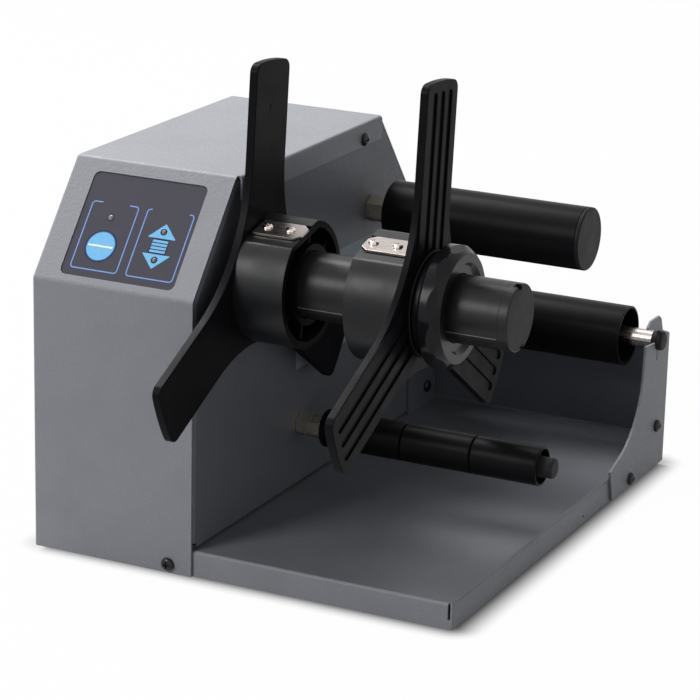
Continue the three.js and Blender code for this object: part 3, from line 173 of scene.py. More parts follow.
# Reel
AXIS_Y = 55.6
AXIS_Z = 171.0
AT_AXIS = Matrix.Translation((0, AXIS_Y, AXIS_Z))
SPINDLE_RADIUS = 19.6
SPINDLE_START = WIDTH + 4.0
SPINDLE_BORE = 7.8
BORE = SPINDLE_RADIUS + GAP
ARM_REACH = 127.0
ARM_WIDTH = 40.0
ARM_THICK = 5.2
ARM_CORNER = 6.0
ARM_ANGLE = 85.6
ARM_TURNS = [ARM_ANGLE + arm * 120 for arm in range(3)]
ARM_EDGE = 0.7
BAR_EDGE = 0.5
WEB_DROP = 1.2
GROOVE_RADIUS = 2.5
GROOVE_OFFSETS = (-10, 0, 10)
GROOVE_INSET = 6.0
INNER_BACK = WIDTH + 9.8
INNER_FACE = INNER_BACK + ARM_THICK
OUTER_BACK = INNER_FACE + 101.1
OUTER_FACE = OUTER_BACK + ARM_THICK
EJECTOR_DOT = (7.2, 99.5)
EJECTOR_RADIUS = 1.7
EJECTOR_RISE = 0.2

# Drums and their grip plates
DRUM_RADIUS = 37.5
DRUM_LENGTH = 31.5
DRUM_WALL = 4.0
DRUM_EDGE = 0.4
POCKET_WALL = 3.5
BOSS_RADIUS = BORE + 4.1
RIB_COUNT = 8
RIB_HALF = 1.1
RIB_START = BORE + 3.5
RIB_TURN = ARM_ANGLE - 4.3
RIB_SETBACK = 4.0
ARM_NECK = DRUM_RADIUS + 0.5
INNER_DRUM_END = INNER_FACE + DRUM_LENGTH
OUTER_DRUM_END = OUTER_BACK - DRUM_LENGTH
GRIP_ANGLE = ARM_ANGLE + 17.0
GRIP_LEVEL = DRUM_RADIUS - 2.8
GRIP_THICK = 1.5
GRIP_FRONT = 11.0
GRIP_WIDTH = 17.0
GRIP_LENGTH = 30.0
GRIP_CHAMFER = 4.0
GRIP_CORNER = 0.6
GRIP_SCREWS = {"inner": (130.5, 145.3), "outer": (198.0, 213.0)}
GRIP_CROSS = (0.9, 3, 0.4, 1.6)
GRIP_HEAD = ((-1, 0), (-1, 3.1), (0.35, 3.1), (0.8, 2.9), (1.3, 2.3), (1.62, 1.4), (1.7, 0))

# Collet, neck and knob
COLLET_RADIUS = SPINDLE_RADIUS + 2.9
COLLET_LENGTH = 14.0
NECK_RADIUS = COLLET_RADIUS + 5.5
NECK_LENGTH = 6.5
NECK_FOOT = 2.0  # its reach to both sides of the arms' face
NECK_FOOT_RADIUS = NECK_RADIUS + 3.0
KNOB_RADIUS = NECK_RADIUS + 7.5
KNOB_END = OUTER_FACE + 20.7
KNOB_FLATS = 10
KNOB_FLAT_TURN = 90.5
KNOB_FLAT_LEAN = -22
KNOB_FLAT_START = KNOB_END - 7.5
KNOB_FLAT_BOX = (-7.5, 11.5, 0, 7.5, -11, 11)
KNOB_DISH = KNOB_END - 2.5
KNOB_DISH_RADII = (24.5, 26.5)
KNOB_SHOULDER = 4.0
KNOB_HEEL = 2.0
SPINDLE_END = KNOB_END + 35.0
SPINDLE_SEAM = SPINDLE_END - 6.0
SPINDLE_LINE = {"turn": -152, "start": SPINDLE_START + 4, "end": SPINDLE_SEAM - 1, "rise": 0.08, "half": 0.35}
CAP_NOTCH = {"turns": (98, -80), "depth": 3, "half": 2.5}

# Rollers, with the bores for their shafts
UPPER = {"spot": (228.7, 172.4), "radius": 19.6, "bore": 6.3, "start": WIDTH + 16.5, "length": 132.5}
UPPER_CAP = 2.7
REAR = {"spot": (313.0, 88.0), "radius": 19.4, "bore": 6.3, "start": WIDTH + 4.0, "end": TRAY_RIGHT - 19.0}
REAR_WALL = 1.6
BUSH_LENGTH = 10.0
BUSHES = {"rear_bush_left": REAR["start"], "rear_bush_right": REAR["end"] - 22}
LOWER = {"spot": (135.2, 56.0), "radius": 11.9, "bore": 4.3, "start": WIDTH + 18.7}
LOWER_LENGTHS = (54.0, 45.5, 43.0)
LOWER_GAP = 0.6
LOWER_RECESS = 5.0
LOWER_RIM = 1.2
PLUG = {"bore": LOWER["bore"], "floor": 5.7, "end": 7.7, "radius": 6.25, "round": 1.2}
BUTTON = {"bore": 3.3, "floor": 2.1, "end": 3.6, "radius": 6.1, "round": 1.3}
SLOT_RING = {"start": TRAY_RIGHT - 1.4, "bore": 6.03, "radius": 6.2}

# Feet
FOOT_COUNT = 4
FOOT_RADII = (8, 10)
FOOT_HEIGHT = TRAY_HEIGHT - TRAY_EDGE + 4.0

# Floor, in metres in the row's frame
FLOOR_SIZE = 6.0
FLOOR_GREY = (0.45, 0.45, 0.45, 1.0)
FLOOR_GLOW = 0.985  # share of plain white in what the camera and reflections see of the floor
# Beside the base the glow fades out over this distance, so the floor's matt grey shows there even where it is
# lit: a painted shadow along the base.
PAINTED_SHADOW_FADE = 0.022  # the glow rises to that share within this distance of the machine
# Rectangle a little inside the machine's footprint; the floor has no glow under it.
PAINTED_SHADOW_X = (-0.1415, 0.1245)
PAINTED_SHADOW_Y = (-0.122, 0.2)

# Light: each lamp's place, side length and power, in metres and watts
LIGHTS = {
    "key": ((-1.4, 0.5, 1.9), 1.3, 75),
    "front": ((-0.94, -1.74, 1.19), 0.75, 21),
    "side": ((1.8, -0.6, 0.9), 1.4, 2.5),
}
LIGHT_TARGET = (0.0, 0.0, 0.12)
SKY_TINT = (0.95, 0.97, 1.0, 1.0)
SKY_STRENGTH = 0.13
WHITE = (1.0, 1.0, 1.0, 1.0)

# Camera: angles in degrees, lens in millimetres, place in the housing's frame
AZIMUTH = 26.256
ELEVATION = 17.558
ROLL = 1.262
LENS = 149.32
SHIFT = (0.0271, 0.0206)
CAMERA_PLACE = (876.4, -1380.7, 631.8)
CLIP = (0.05, 30.0)


def tone(red, green, blue):
    """Scene colour from display values of 0 to 255."""
    def linear(value):
        share = value / 255
        return share / 12.92 if share <= 0.04045 else ((share + 0.055) / 1.055) ** 2.4
    return (linear(red), linear(green), linear(blue), 1.0)


def fed(tree, socket, value):
    """Links another node's output to a socket, or gives the socket a value."""
    if isinstance(value, bpy.types.NodeSocket):
        tree.links.new(value, socket)
    else:
        socket.default_value = value


def added(tree, kind, **inputs):
    """New shader node. Its inputs, written with _ for a space, are values or other nodes' outputs."""
    node = tree.nodes.new(f"ShaderNode{kind}")
    for name, value in inputs.items():
        fed(tree, node.inputs[name.replace("_", " ")], value)
    return node


class Look:
    """A node material under construction: a Principled shader and the object's own coordinates."""

    def __init__(self, name, color, roughness, metallic=0.0, specular=0.5):
        self.material = bpy.data.materials.new(name)
        self.material.use_nodes = True
        self.tree = self.material.node_tree
        self.inputs = self.tree.nodes["Principled BSDF"].inputs
        self.color = self.base = tone(*color)
        self.roughness = roughness
        self.place = added(self.tree, "TexCoord").outputs["Object"]
        self.normal = None
        self.feed("Base Color", self.color)
        self.feed("Roughness", roughness)
        self.feed("Metallic", metallic)
        self.feed("Specular IOR Level", specular)

    def feed(self, name, value):
        fed(self.tree, self.inputs[name], value)

    def noise(self, scale, detail=2.0, stretch=(1, 1, 1), rough=0.5):
        place = added(self.tree, "Mapping", Vector=self.place, Scale=stretch).outputs["Vector"]
        node = added(self.tree, "TexNoise", Vector=place, Scale=scale, Detail=detail, Roughness=rough)
        return node.outputs["Fac"]

    def cells(self, scale):
        node = added(self.tree, "TexVoronoi", Vector=self.place, Scale=scale)
        node.feature = "SMOOTH_F1"
        return node.outputs["Distance"]

    def ranged(self, source, low, high, start=0.3, end=0.7):
        ends = {"From_Min": start, "From_Max": end, "To_Min": low, "To_Max": high}
        return added(self.tree, "MapRange", Value=source, **ends).outputs["Result"]

    def tinted(self, source, factor, start=0.3, end=0.7):
        """Runs the base colour to a darker or lighter one where the source rises."""
        node = added(self.tree, "Mix")
        node.data_type = "RGBA"
        fed(self.tree, node.inputs["A"], self.base)
        fed(self.tree, node.inputs["B"], tuple(channel * factor for channel in self.color[:3]) + (1.0,))
        fed(self.tree, node.inputs["Factor"], self.ranged(source, 0.0, 1.0, start, end))
        self.base = node.outputs["Result"]
        self.feed("Base Color", self.base)

    def roughened(self, source, spread):
        low, high = max(self.roughness - spread, 0.02), self.roughness + spread
        self.feed("Roughness", self.ranged(source, low, high))

    def bumped(self, source, depth):
        """Raises the surface by a depth in millimetres where the source rises."""
        node = added(self.tree, "Bump", Height=source, Distance=depth * MM, Strength=1.0)
        if self.normal is not None:
            fed(self.tree, node.inputs["Normal"], self.normal)
        self.normal = node.outputs["Normal"]
        self.feed("Normal", self.normal)


def paint(name, color, roughness, specular, dimples):
    """Powder coat with faint mottling, over hammered dimples of a depth or, without them, soft waves."""
    look = Look(name, color, roughness, specular=specular)
    grain = look.noise(900, detail=3.0, rough=0.6)
    look.tinted(grain, 1.12, 0.42, 0.72)
    look.tinted(look.noise(28), 0.95, 0.45, 0.8)
    look.roughened(look.noise(300), spread=0.06)
    if dimples:
        look.bumped(look.cells(620), depth=dimples)
        look.bumped(grain, depth=0.02)
    else:
        look.bumped(look.noise(420, detail=1.0), depth=0.012)
    return look.material


def plastic(name, color, roughness, specular):
    """Moulded plastic: faint pebble grain and soft flow marks in the gloss."""
    look = Look(name, color, roughness, specular=specular)
    look.tinted(look.noise(45), 1.25, 0.45, 0.8)
    look.roughened(look.noise(70, detail=3.0), spread=0.06)
    look.bumped(look.noise(2200), depth=0.003)
    look.bumped(look.noise(60), depth=0.02)
    return look.material


def turned_finish(name, color, roughness, metallic, specular):
    """Smooth turned sleeve: very fine rings round the axis and a few faint rubbed bands."""
    look = Look(name, color, roughness, metallic, specular)
    rings = look.noise(300, stretch=(1.5, 0.02, 0.02))
    look.tinted(look.noise(25, stretch=(3, 0.3, 0.3)), 1.2, 0.5, 0.85)
    look.roughened(rings, spread=0.015)
    look.bumped(rings, depth=0.0002)
    return look.material


def brushed(name, color, roughness):
    """Steel with fine lines along X."""
    look = Look(name, color, roughness, metallic=1.0)
    lines = look.noise(2600, stretch=(0.05, 1, 1))
    look.tinted(look.noise(60), 0.82, 0.45, 0.8)
    look.roughened(lines, spread=0.04)
    look.bumped(lines, depth=0.0003)
    return look.material


def rubber(name, color):
    look = Look(name, color, roughness=0.75, specular=0.3)
    look.tinted(look.noise(400), 1.4, 0.5, 0.8)
    look.roughened(look.noise(150), spread=0.08)
    look.bumped(look.noise(1500), depth=0.03)
    return look.material


def film(name, color, roughness=0.45):
    """Printed membrane: satin film with a very fine grain."""
    look = Look(name, color, roughness, specular=0.2)
    look.tinted(look.noise(700), 1.08, 0.4)
    look.roughened(look.noise(200), spread=0.05)
    look.bumped(look.noise(3000), depth=0.002)
    return look.material


def lens(name, color):
    look = Look(name, color, roughness=0.3, specular=0.3)
    look.tinted(look.noise(900), 1.3, 0.4, 0.8)
    look.roughened(look.noise(400), spread=0.04)
    return look.material


def laminate(name, color):
    look = Look(name, color, roughness=0.5)
    look.tinted(look.noise(1200, stretch=(1, 0.1, 1)), 1.4, 0.45)
    look.bumped(look.noise(1200, stretch=(0.1, 1, 1)), depth=0.01)
    return look.material


def casting(name, color):
    look = Look(name, color, roughness=0.5, metallic=0.9)
    grain = look.noise(700, detail=3.0)
    look.tinted(grain, 0.75, 0.4)
    look.roughened(look.noise(90), spread=0.1)
    look.bumped(grain, depth=0.05)
    return look.material


FINISHES = {
    "painted_steel": (paint, (139, 141, 147), 0.5, 0.27, 0.14),
    "black_plastic": (plastic, (20, 20, 23), 0.38, 0.03),
    "roller_plastic": (turned_finish, (22, 22, 24), 0.36, 0.0, 0.045),
    "spindle_metal": (turned_finish, (26, 26, 27), 0.38, 0.0, 0.26),
    "bright_steel": (brushed, (176, 168, 164), 0.26),
    "black_screw": (plastic, (20, 20, 22), 0.35, 0.3),
    "rubber": (rubber, (20, 20, 22)),
    "panel_film": (film, (58, 57, 67)),
    "panel_blue": (film, (118, 186, 232)),
    "lens": (lens, (105, 103, 112)),
    "circuit_board": (laminate, (31, 90, 58)),
    "cast_metal": (casting, (141, 144, 149)),
    # Darker copy of the cover's paint for the side plate, the tray's back wall and its tabs: painted shade,
    # where the reel, the rollers and the housing shade them.
    "paint_darkened_as_shade": (paint, (108, 110, 117), 0.5, 0.25, 0.08),
    # Darker, glossier copy of the cover's paint for the tray floor's upward faces: its darker tone is painted
    # shade, where the housing and the reel shade the floor.
    "tray_floor_painted_shade": (paint, (122, 124, 130), 0.34, 0.35, 0.0),
    "switch_plastic": (plastic, (18, 18, 20), 0.22, 0.4),
    "drum_plastic": (plastic, (24, 25, 27), 0.38, 0.23),
    "knob_plastic": (plastic, (22, 22, 25), 0.2, 0.14),
    # Black plastic made lighter for the spindle cap's end face and the upper roller's cap: painted sheen,
    # standing in for the light these faces catch.
    "cap_plastic_painted_sheen": (plastic, (40, 40, 43), 0.42, 0.05),
    "nut_steel": (turned_finish, (196, 188, 170), 0.28, 1.0, 0.5),
    "panel_line": (film, (128, 160, 226)),
    "panel_white": (film, (240, 245, 250)),
    "button_rim": (film, (52, 84, 142)),
    "label_paper": (film, (150, 161, 169), 0.55),
    "polished_screw": (brushed, (214, 205, 200), 0.16),
    # Light grey for the strip along the spindle's slot line: painted highlight, standing in for the light
    # line along the slot.
    "slot_line_highlight": (plastic, (128, 126, 124), 0.4, 0.3),
}
MATERIALS = {name: make(name, *values) for name, (make, *values) in FINISHES.items()}


def fillet(points, radii, steps=4, closed=True):
    """Rounds the corners of a flat outline. radii is one number, or a list with one for each point."""
    count = len(points)
    straight = math.radians(89.5)
    if not hasattr(radii, "__len__"):
        radii = [radii] * count
    made = []
    for index, (point, radius) in enumerate(zip(points, radii)):
        corner = Vector(point)
        before = (Vector(points[index - 1]) - corner).normalized()
        after = (Vector(points[(index + 1) % count]) - corner).normalized()
        half = before.angle(after) / 2
        ends = not closed and index in (0, count - 1)
        if ends or radius <= 0 or half > straight:
            made.append(tuple(corner))
            continue
        reach = radius / math.tan(half)
        centre = corner + (before + after).normalized() * (radius / math.sin(half))
        first = corner + before * reach - centre
        last = corner + after * reach - centre
        for step in range(steps + 1):
            heading = first.normalized().slerp(last.normalized(), step / steps)
            made.append(tuple(centre + heading * radius))
    return made


def polar(radius, degrees, centre=(0, 0)):
    """Point at a distance and an angle from a centre."""
    angle = math.radians(degrees)
    return (centre[0] + radius * math.cos(angle), centre[1] + radius * math.sin(angle))


def arc(centre, radius, start, end, steps):
    return [polar(radius, start + (end - start) * step / steps, centre) for step in range(steps + 1)]


def rotated(points, degrees):
    c, s = polar(1, degrees)
    return [(u * c - v * s, u * s + v * c) for u, v in points]


def circle(centre, radius, steps=48):
    return arc(centre, radius, 0, 360 * (steps - 1) / steps, steps - 1)


def rectangle(a0, a1, b0, b1, radius=0.0, steps=5):
    return fillet([(a0, b0), (a1, b0), (a1, b1), (a0, b1)], radius, steps)


AXES = {
    "X": lambda a, b, c: (c, a, b),
    "Y": lambda a, b, c: (a, c, b),
    "Z": lambda a, b, c: (a, b, c),
}


def plate(loops, low, high, axis="X"):
    """Flat plate with holes: the first loop is its outline, the others its holes; extruded along an axis."""
    flat = math.radians(0.2)
    mesh = bmesh.new()
    edges = []
    for loop in loops:
        ring = [mesh.verts.new(AXES[axis](a, b, low)) for a, b in loop]
        edges += [mesh.edges.new((ring[i - 1], ring[i])) for i in range(len(ring))]
    bmesh.ops.triangle_fill(mesh, use_beauty=True, use_dissolve=False, edges=edges)
    made = bmesh.ops.extrude_face_region(mesh, geom=mesh.faces[:])
    far_side = [item for item in made["geom"] if isinstance(item, bmesh.types.BMVert)]
    bmesh.ops.translate(mesh, verts=far_side, vec=AXES[axis](0, 0, high - low))
    bmesh.ops.dissolve_limit(mesh, angle_limit=flat, verts=[], edges=mesh.edges[:])
    bmesh.ops.recalc_face_normals(mesh, faces=mesh.faces[:])
    return mesh


def box(x0, x1, y0, y1, z0, z1):
    return plate([[(x0, y0), (x1, y0), (x1, y1), (x0, y1)]], z0, z1, "Z")


def hole(axis, a, b, radius, low, high):
    """Cutter for a round hole along an axis."""
    return plate([circle((a, b), radius, 32)], low, high, axis)


def lathe(profile, segments, y=0.0, z=0.0):
    """Solid turned about an axis along X, from x and radius. Off the axis the profile closes itself."""
    tiny = 1e-6
    profile = [point for point, last in zip(profile, profile[-1:] + profile) if math.dist(point, last) > tiny]
    turns = [2 * math.pi * k / segments for k in range(segments)]
    mesh = bmesh.new()
    rings = []
    for x, radius in profile:
        around = turns if radius > tiny else [math.pi / 2]
        places = [(x, y + radius * math.cos(a), z + radius * math.sin(a)) for a in around]
        rings.append([mesh.verts.new(place) for place in places])
    if profile[0][1] > tiny:
        rings.append(rings[0])
    for one, two in zip(rings, rings[1:]):
        for k in range(segments):
            n = (k + 1) % segments
            corners = []
            for vert in (one[k % len(one)], one[n % len(one)], two[n % len(two)], two[k % len(two)]):
                if vert not in corners:
                    corners.append(vert)
            if len(corners) > 2:
                mesh.faces.new(corners)
    bmesh.ops.recalc_face_normals(mesh, faces=mesh.faces[:])
    return mesh


def softened(mesh, width, segments=2, angle=40.0, where=None):
    """Rounds the sharp edges, or those of them that a test on their two ends accepts."""
    limit = math.radians(angle)
    edges = [edge for edge in mesh.edges if len(edge.link_faces) == 2 and edge.calc_face_angle(0.0) > limit]
    if where is not None:
        edges = [edge for edge in edges if all(where(vert.co) for vert in edge.verts)]
    if edges:
        bmesh.ops.bevel(mesh, geom=edges, offset=width, segments=segments, profile=0.5, affect="EDGES",
                        clamp_overlap=True)
    return mesh


def as_data(name, mesh):
    """Mesh data from a working mesh, which is freed."""
    data = bpy.data.meshes.new(name)
    mesh.to_mesh(data)
    mesh.free()
    return data


def in_scene(name, data):
    """Object in the scene from mesh data, a light or a camera."""
    made = bpy.data.objects.new(name, data)
    bpy.context.scene.collection.objects.link(made)
    return made


def together(*meshes):
    whole = bmesh.new()
    for mesh in meshes:
        data = as_data("joined", mesh)
        whole.from_mesh(data)
        bpy.data.meshes.remove(data)
    return whole


def moved(mesh, matrix):
    mesh.transform(matrix)
    return mesh


def worked(mesh, kind, tool=None, **settings):
    """Applies one modifier to a mesh and returns the result."""
    target = in_scene("work", as_data("work", mesh))
    modifier = target.modifiers.new("work", kind)
    used = [target]
    if tool is not None:
        used.append(in_scene("tool", as_data("tool", tool)))
        modifier.object = used[-1]
    for name, value in settings.items():
        setattr(modifier, name, value)
    bpy.context.view_layer.update()
    result = bpy.data.meshes.new_from_object(target.evaluated_get(bpy.context.evaluated_depsgraph_get()))
    made = bmesh.new()
    made.from_mesh(result)
    for data in [obj.data for obj in used] + [result]:
        bpy.data.meshes.remove(data)
    return made


def carved(mesh, *cutters):
    return worked(mesh, "BOOLEAN", together(*cutters), operation="DIFFERENCE", solver="EXACT", use_self=True)


def piece(name, mesh, node=None, body="frame", slot=None, finish=None):
    """Makes a visible piece on a body. It stands for a CAD node or has a slot of its own."""
    mesh.transform(TO_ROW)
    data = as_data(name, mesh)
    data.shade_smooth()
    data.set_sharp_from_angle(angle=math.radians(38.0))
    slot = slot or NODE_SLOTS[node]
    data.materials.append(MATERIALS[finish or slot])
    made = in_scene(name, data)
    made.modifiers.new("even shading", "WEIGHTED_NORMAL").keep_sharp = True
    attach(made, body)
    if node:
        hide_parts(node)
    return made


def refinished(made, finish, chosen):
    """Gives another finish to the faces whose middle, in millimetres, and direction a test accepts."""
    made.data.materials.append(MATERIALS[finish])
    back = TO_ROW.inverted()
    for face in made.data.polygons:
        if chosen(back @ face.center, face.normal):
            face.material_index = 1


def turned(degrees, axis="X"):
    return Matrix.Rotation(math.radians(degrees), 4, axis)


def at_spindle(mesh):
    return moved(mesh, AT_AXIS)


def on_slope(mesh):
    return moved(mesh, SLOPE_FRAME)


def ring_profile(x0, x1, bore, radius, roundings, steps=3):
    """Section of a tube, its roundings from the bore's start round to the outside's start."""
    return fillet([(x0, bore), (x1, bore), (x1, radius), (x0, radius)], roundings, steps)


def disc_profile(x0, x1, radius, roundings):
    """Section of a disc, whose roundings are those of its two rims."""
    return fillet([(x0, 0), (x0, radius), (x1, radius), (x1, 0)], [0, *roundings, 0], closed=False)


def cup_profile(start, face, cup):
    """Section of a cap bored from its start, with its floor and its end beyond a face."""
    floor, end, bore, radius = face + cup["floor"], face + cup["end"], cup["bore"], cup["radius"]
    points = [(start, bore), (floor, bore), (floor, 0), (end, 0), (end, radius), (start, radius)]
    return fillet(points, [0, 0, 0, 0, cup["round"], 0], closed=False)


def housing_outline(inset, bottom):
    """Front, slope, top, rear slope and rear of the housing's side, moved inwards."""
    slope_corner = inset * math.tan((math.pi / 2 - SLOPE_ANGLE) / 2)
    top_corner = inset * math.tan(SLOPE_ANGLE / 2)
    rear_run = DEPTH - SLOPE_RUN - TOP_LENGTH
    rear_height = HEIGHT - rear_run * math.tan(SLOPE_ANGLE)
    return [
        (inset, bottom), (DEPTH - inset, bottom), (DEPTH - inset, rear_height - slope_corner),
        (SLOPE_RUN + TOP_LENGTH - top_corner, HEIGHT - inset), (SLOPE_RUN + top_corner, HEIGHT - inset),
        (inset, FRONT_HEIGHT - slope_corner),
    ]


def bent_sheet(outline, low, high, axis, missing, bend, segments=4, where=None):
    """Sheet round a prism with bent corners, without the faces whose middle a test accepts."""
    mesh = plate([outline], low, high, axis)
    gone = [face for face in mesh.faces if missing(face.calc_center_median())]
    bmesh.ops.delete(mesh, geom=gone, context="FACES")
    softened(mesh, bend, segments, BEND_ANGLE, where)
    return worked(mesh, "SOLIDIFY", thickness=SHEET, offset=-1.0, use_even_offset=True)


def make_cover():
    shell = bent_sheet(housing_outline(0, 0), 0, COVER_RIGHT, "X",
                       lambda c: c.x > COVER_RIGHT - NEAR or c.z < NEAR, COVER_BEND)
    rear = (DEPTH - CUT_DEPTH, DEPTH + PAST)
    inlet = hole("Y", *INLET, INLET_RADIUS, *rear)
    switch = plate([rectangle(*SWITCH_HOLE)], *rear, "Y")
    window = on_slope(plate([panel_outline(GAP)], -SHEET - PAST, PAST, "Z"))
    shell = carved(shell, window, inlet, switch, hole("Y", *FRONT_SCREW, SCREW_HOLE, -PAST, CUT_DEPTH))
    softened(shell, SHEET_EDGE, where=lambda co: co.x < COVER_RIGHT - NEAR or co.z < HEIGHT - TOP_RIM)
    piece("cover_shell", shell, "cover")


def make_cover_strip():
    """The cover's side strip, which runs along the top outside the side plate."""
    low, ceiling = HEIGHT - STRIP_HEIGHT, HEIGHT - SHEET
    section = [(COVER_RIGHT, ceiling), (WIDTH + GAP, ceiling), (WIDTH + GAP, low), (STRIP_OUTSIDE, low),
               (STRIP_OUTSIDE, HEIGHT), (COVER_RIGHT, HEIGHT)]
    inner, outer = STRIP_BENDS
    section = fillet(section, [0, inner, 0, 0, outer, 0], 6)
    strip = plate([section], SLOPE_RUN + STRIP_INSET, SLOPE_RUN + TOP_LENGTH - STRIP_INSET, "Y")
    spots = [SIDE_SCREWS["strip_screw_1"], SIDE_SCREWS["strip_screw_2"]]
    holes = [hole("X", y, z, SCREW_HOLE, WIDTH, x + 1) for x, y, z in spots]
    strip = softened(carved(strip, *holes), CUT_EDGE, where=lambda co: co.x > COVER_RIGHT + NEAR)
    piece("cover_strip", strip, "cover")


def make_side_plate():
    bottom = TRAY_HEIGHT + GAP
    back = WIDTH - FLANGE_DEPTH
    shell = bent_sheet(housing_outline(TRAY_EDGE, bottom), back, WIDTH, "X",
                       lambda c: c.x < back + NEAR, SIDE_BEND)
    through = (back, WIDTH + PAST)
    cutters = [box(WIDTH - NOTCH, WIDTH + PAST, 0, TRAY_EDGE + NOTCH, 0, bottom + NOTCH)]
    cutters.append(hole("X", AXIS_Y, AXIS_Z, SPINDLE_HOLE, *through))
    cutters += [hole("X", *roller["spot"], roller["bore"], *through) for roller in (UPPER, REAR, LOWER)]
    shell = softened(carved(shell, *cutters), CUT_EDGE)
    # The side plate takes the darker paint: painted shade.
    piece("side_plate_shell", shell, "side_plate", finish="paint_darkened_as_shade")
    label = plate([rectangle(*LABEL, LABEL_CORNER)], WIDTH, WIDTH + LABEL_THICK)
    piece("bare_label", label, slot="panel_film", finish="label_paper")


def make_tray_floor():
    floor = bent_sheet(rectangle(TRAY_EDGE, TRAY_RIGHT, TRAY_EDGE, TRAY_REAR), 0, TRAY_HEIGHT, "Z",
                       lambda c: c.z < NEAR, TRAY_BEND, 5, lambda co: co.z > TRAY_HEIGHT - NEAR)
    above = TRAY_HEIGHT + PAST
    cutters = [box(*SLIT_X, 0, TRAY_EDGE + SLIT_DEPTH, SLIT_LOW, above)]
    cutters.append(box(TRAY_RIGHT - CUT_DEPTH, TRAY_RIGHT + PAST, *LIP_HOLE))
    for y in RELIEFS:
        cutters.append(box(*RELIEF_X, y - RELIEF_HALF, y + RELIEF_HALF, RELIEF_LOW, above))
    floor = softened(carved(floor, *cutters), SHEET_EDGE)
    made = piece("tray_floor", floor, "base_tray")
    # The floor's upward faces take the darker paint: painted shade.
    refinished(made, "tray_floor_painted_shade", lambda middle, normal: normal.z > 0.9)


def make_tray_walls():
    """The tray's back wall with its bend, and the tabs at both its ends."""
    inner = TRAY_REAR - SHEET
    start, level = inner - TRAY_BEND, TRAY_HEIGHT - 0.1
    section = [(start, level)] + arc((start, level + TRAY_BEND), TRAY_BEND, -90, 0, 5)[1:]
    section += [(inner, BACK_WALL_TOP), (TRAY_REAR, BACK_WALL_TOP)]
    section += [(TRAY_REAR, TRAY_SUNK), (start, TRAY_SUNK)]
    wall = softened(plate([section], WIDTH + GAP, TRAY_RIGHT - SHEET - GAP), WALL_EDGE, angle=60)
    # The back wall takes the darker paint: painted shade.
    piece("tray_back_wall", wall, "base_tray", finish="paint_darkened_as_shade")
    outline = [(TAB_START, TRAY_SUNK), (TAB_END, TRAY_SUNK), (TAB_END, TAB_TOP), (TAB_START, TAB_TOP)]
    outline = fillet(outline, [0, 0, TAB_CORNER, TAB_CORNER])
    # The tabs take the darker paint too: painted shade.
    for side, ends in (("left", (WIDTH + GAP, STRIP_OUTSIDE)), ("right", (TRAY_RIGHT - SHEET, TRAY_RIGHT))):
        tab = softened(plate([outline], *ends), WALL_EDGE)
        piece(f"tray_tab_{side}", tab, "base_tray", finish="paint_darkened_as_shade")


def panel_outline(margin):
    left, bottom = PANEL["left"], PANEL["bottom"]
    right, top = left + PANEL["width"], bottom + PANEL["height"]
    return rectangle(left - margin, right + margin, bottom - margin, top + margin, PANEL["corner"], 8)


def key_outline(margin):
    x, s = DIRECTION_KEY
    across, along = DIRECTION_HALF
    return rectangle(x - across - margin, x + across + margin, s - along - margin, s + along + margin, 0.4, 3)


def gapped_frame(left, right, gap_start, gap_end):
    """Rounded frame drawn as a line, with a gap in its upper side."""
    def path(inset):
        x0, x1, low, high = left + inset, right - inset, FRAME_LOW + inset, FRAME_HIGH - inset
        points = [(gap_end, high), (x1, high), (x1, low), (x0, low), (x0, high), (gap_start, high)]
        return fillet(points, FRAME_CORNER - inset, 6, closed=False)
    return path(0) + path(FRAME_LINE)[::-1]


def printed(name, loops, body="frame", finish=None, level=PANEL_FACE):
    """Thin print on the panel, or on a key whose face is at a level."""
    mesh = on_slope(plate(loops, level - PRINT_DEPTH, level + PRINT_RISE, "Z"))
    piece(name, mesh, None, body, "panel_blue", finish)


def make_panel():
    holes = [circle(START_KEY, START_RADIUS + GAP, 64), key_outline(GAP)]
    holes += [circle((x, s), radius + GAP) for x, s, radius in LAMPS.values()]
    face = softened(plate([panel_outline(0)] + holes, PANEL_BACK, PANEL_FACE, "Z"), FINE_EDGE, angle=60)
    rim = plate([panel_outline(PANEL_RIM)] + holes, PANEL_BACK, RIM_FACE, "Z")
    piece("panel_membrane", on_slope(together(face, rim)), "control_panel")
    for name, places in FRAMES.items():
        printed(f"panel_{name}_frame", [gapped_frame(*places)], finish="panel_line")
    x, s = DIRECTION_KEY
    for name, way in (("up", 1), ("down", -1)):
        base = s + way * ARROW["base"]
        arrow = [(x - ARROW["half"], base), (x + ARROW["half"], base), (x, s + way * ARROW["tip"])]
        lamp = circle(LAMPS[f"{name}_led"][:2], ARROW["hole"])
        printed(f"panel_{name}_arrow", [fillet(arrow, 0.3, 3), lamp])


def make_direction_key():
    key = on_slope(plate([key_outline(0)], KEY_BACK, PANEL_FACE - KEY_SUNK, "Z"))
    piece("direction_key_cap", key, "direction_button", "direction_key", finish="panel_film")
    x, s = DIRECTION_KEY
    for k in range(4):
        low = s + STRIPE["first"] + STRIPE["pitch"] * k
        stripe = rectangle(x - STRIPE["half"], x + STRIPE["half"], low, low + STRIPE["height"], 0.15, 2)
        printed(f"direction_stripe_{k + 1}", [stripe], "direction_key")


def make_start_key():
    cap = plate([circle(START_KEY, START_RADIUS, 96)], KEY_BACK, PANEL_FACE + START_RISE, "Z")
    cap = on_slope(softened(cap, FINE_EDGE, angle=60))
    piece("start_key_cap", cap, "start_stop_button", "start_key", finish="button_rim")
    printed("start_key_disc", [circle(START_KEY, START_DISC, 96)], "start_key", level=PANEL_FACE + DISC_RISE)
    x, s = START_KEY
    half = START_LINE["half"]
    line = rectangle(x - START_LINE["left"], x + START_LINE["right"], s - half, s + half)
    printed("start_key_line", [line], "start_key", finish="panel_white", level=PANEL_FACE + LINE_RISE)


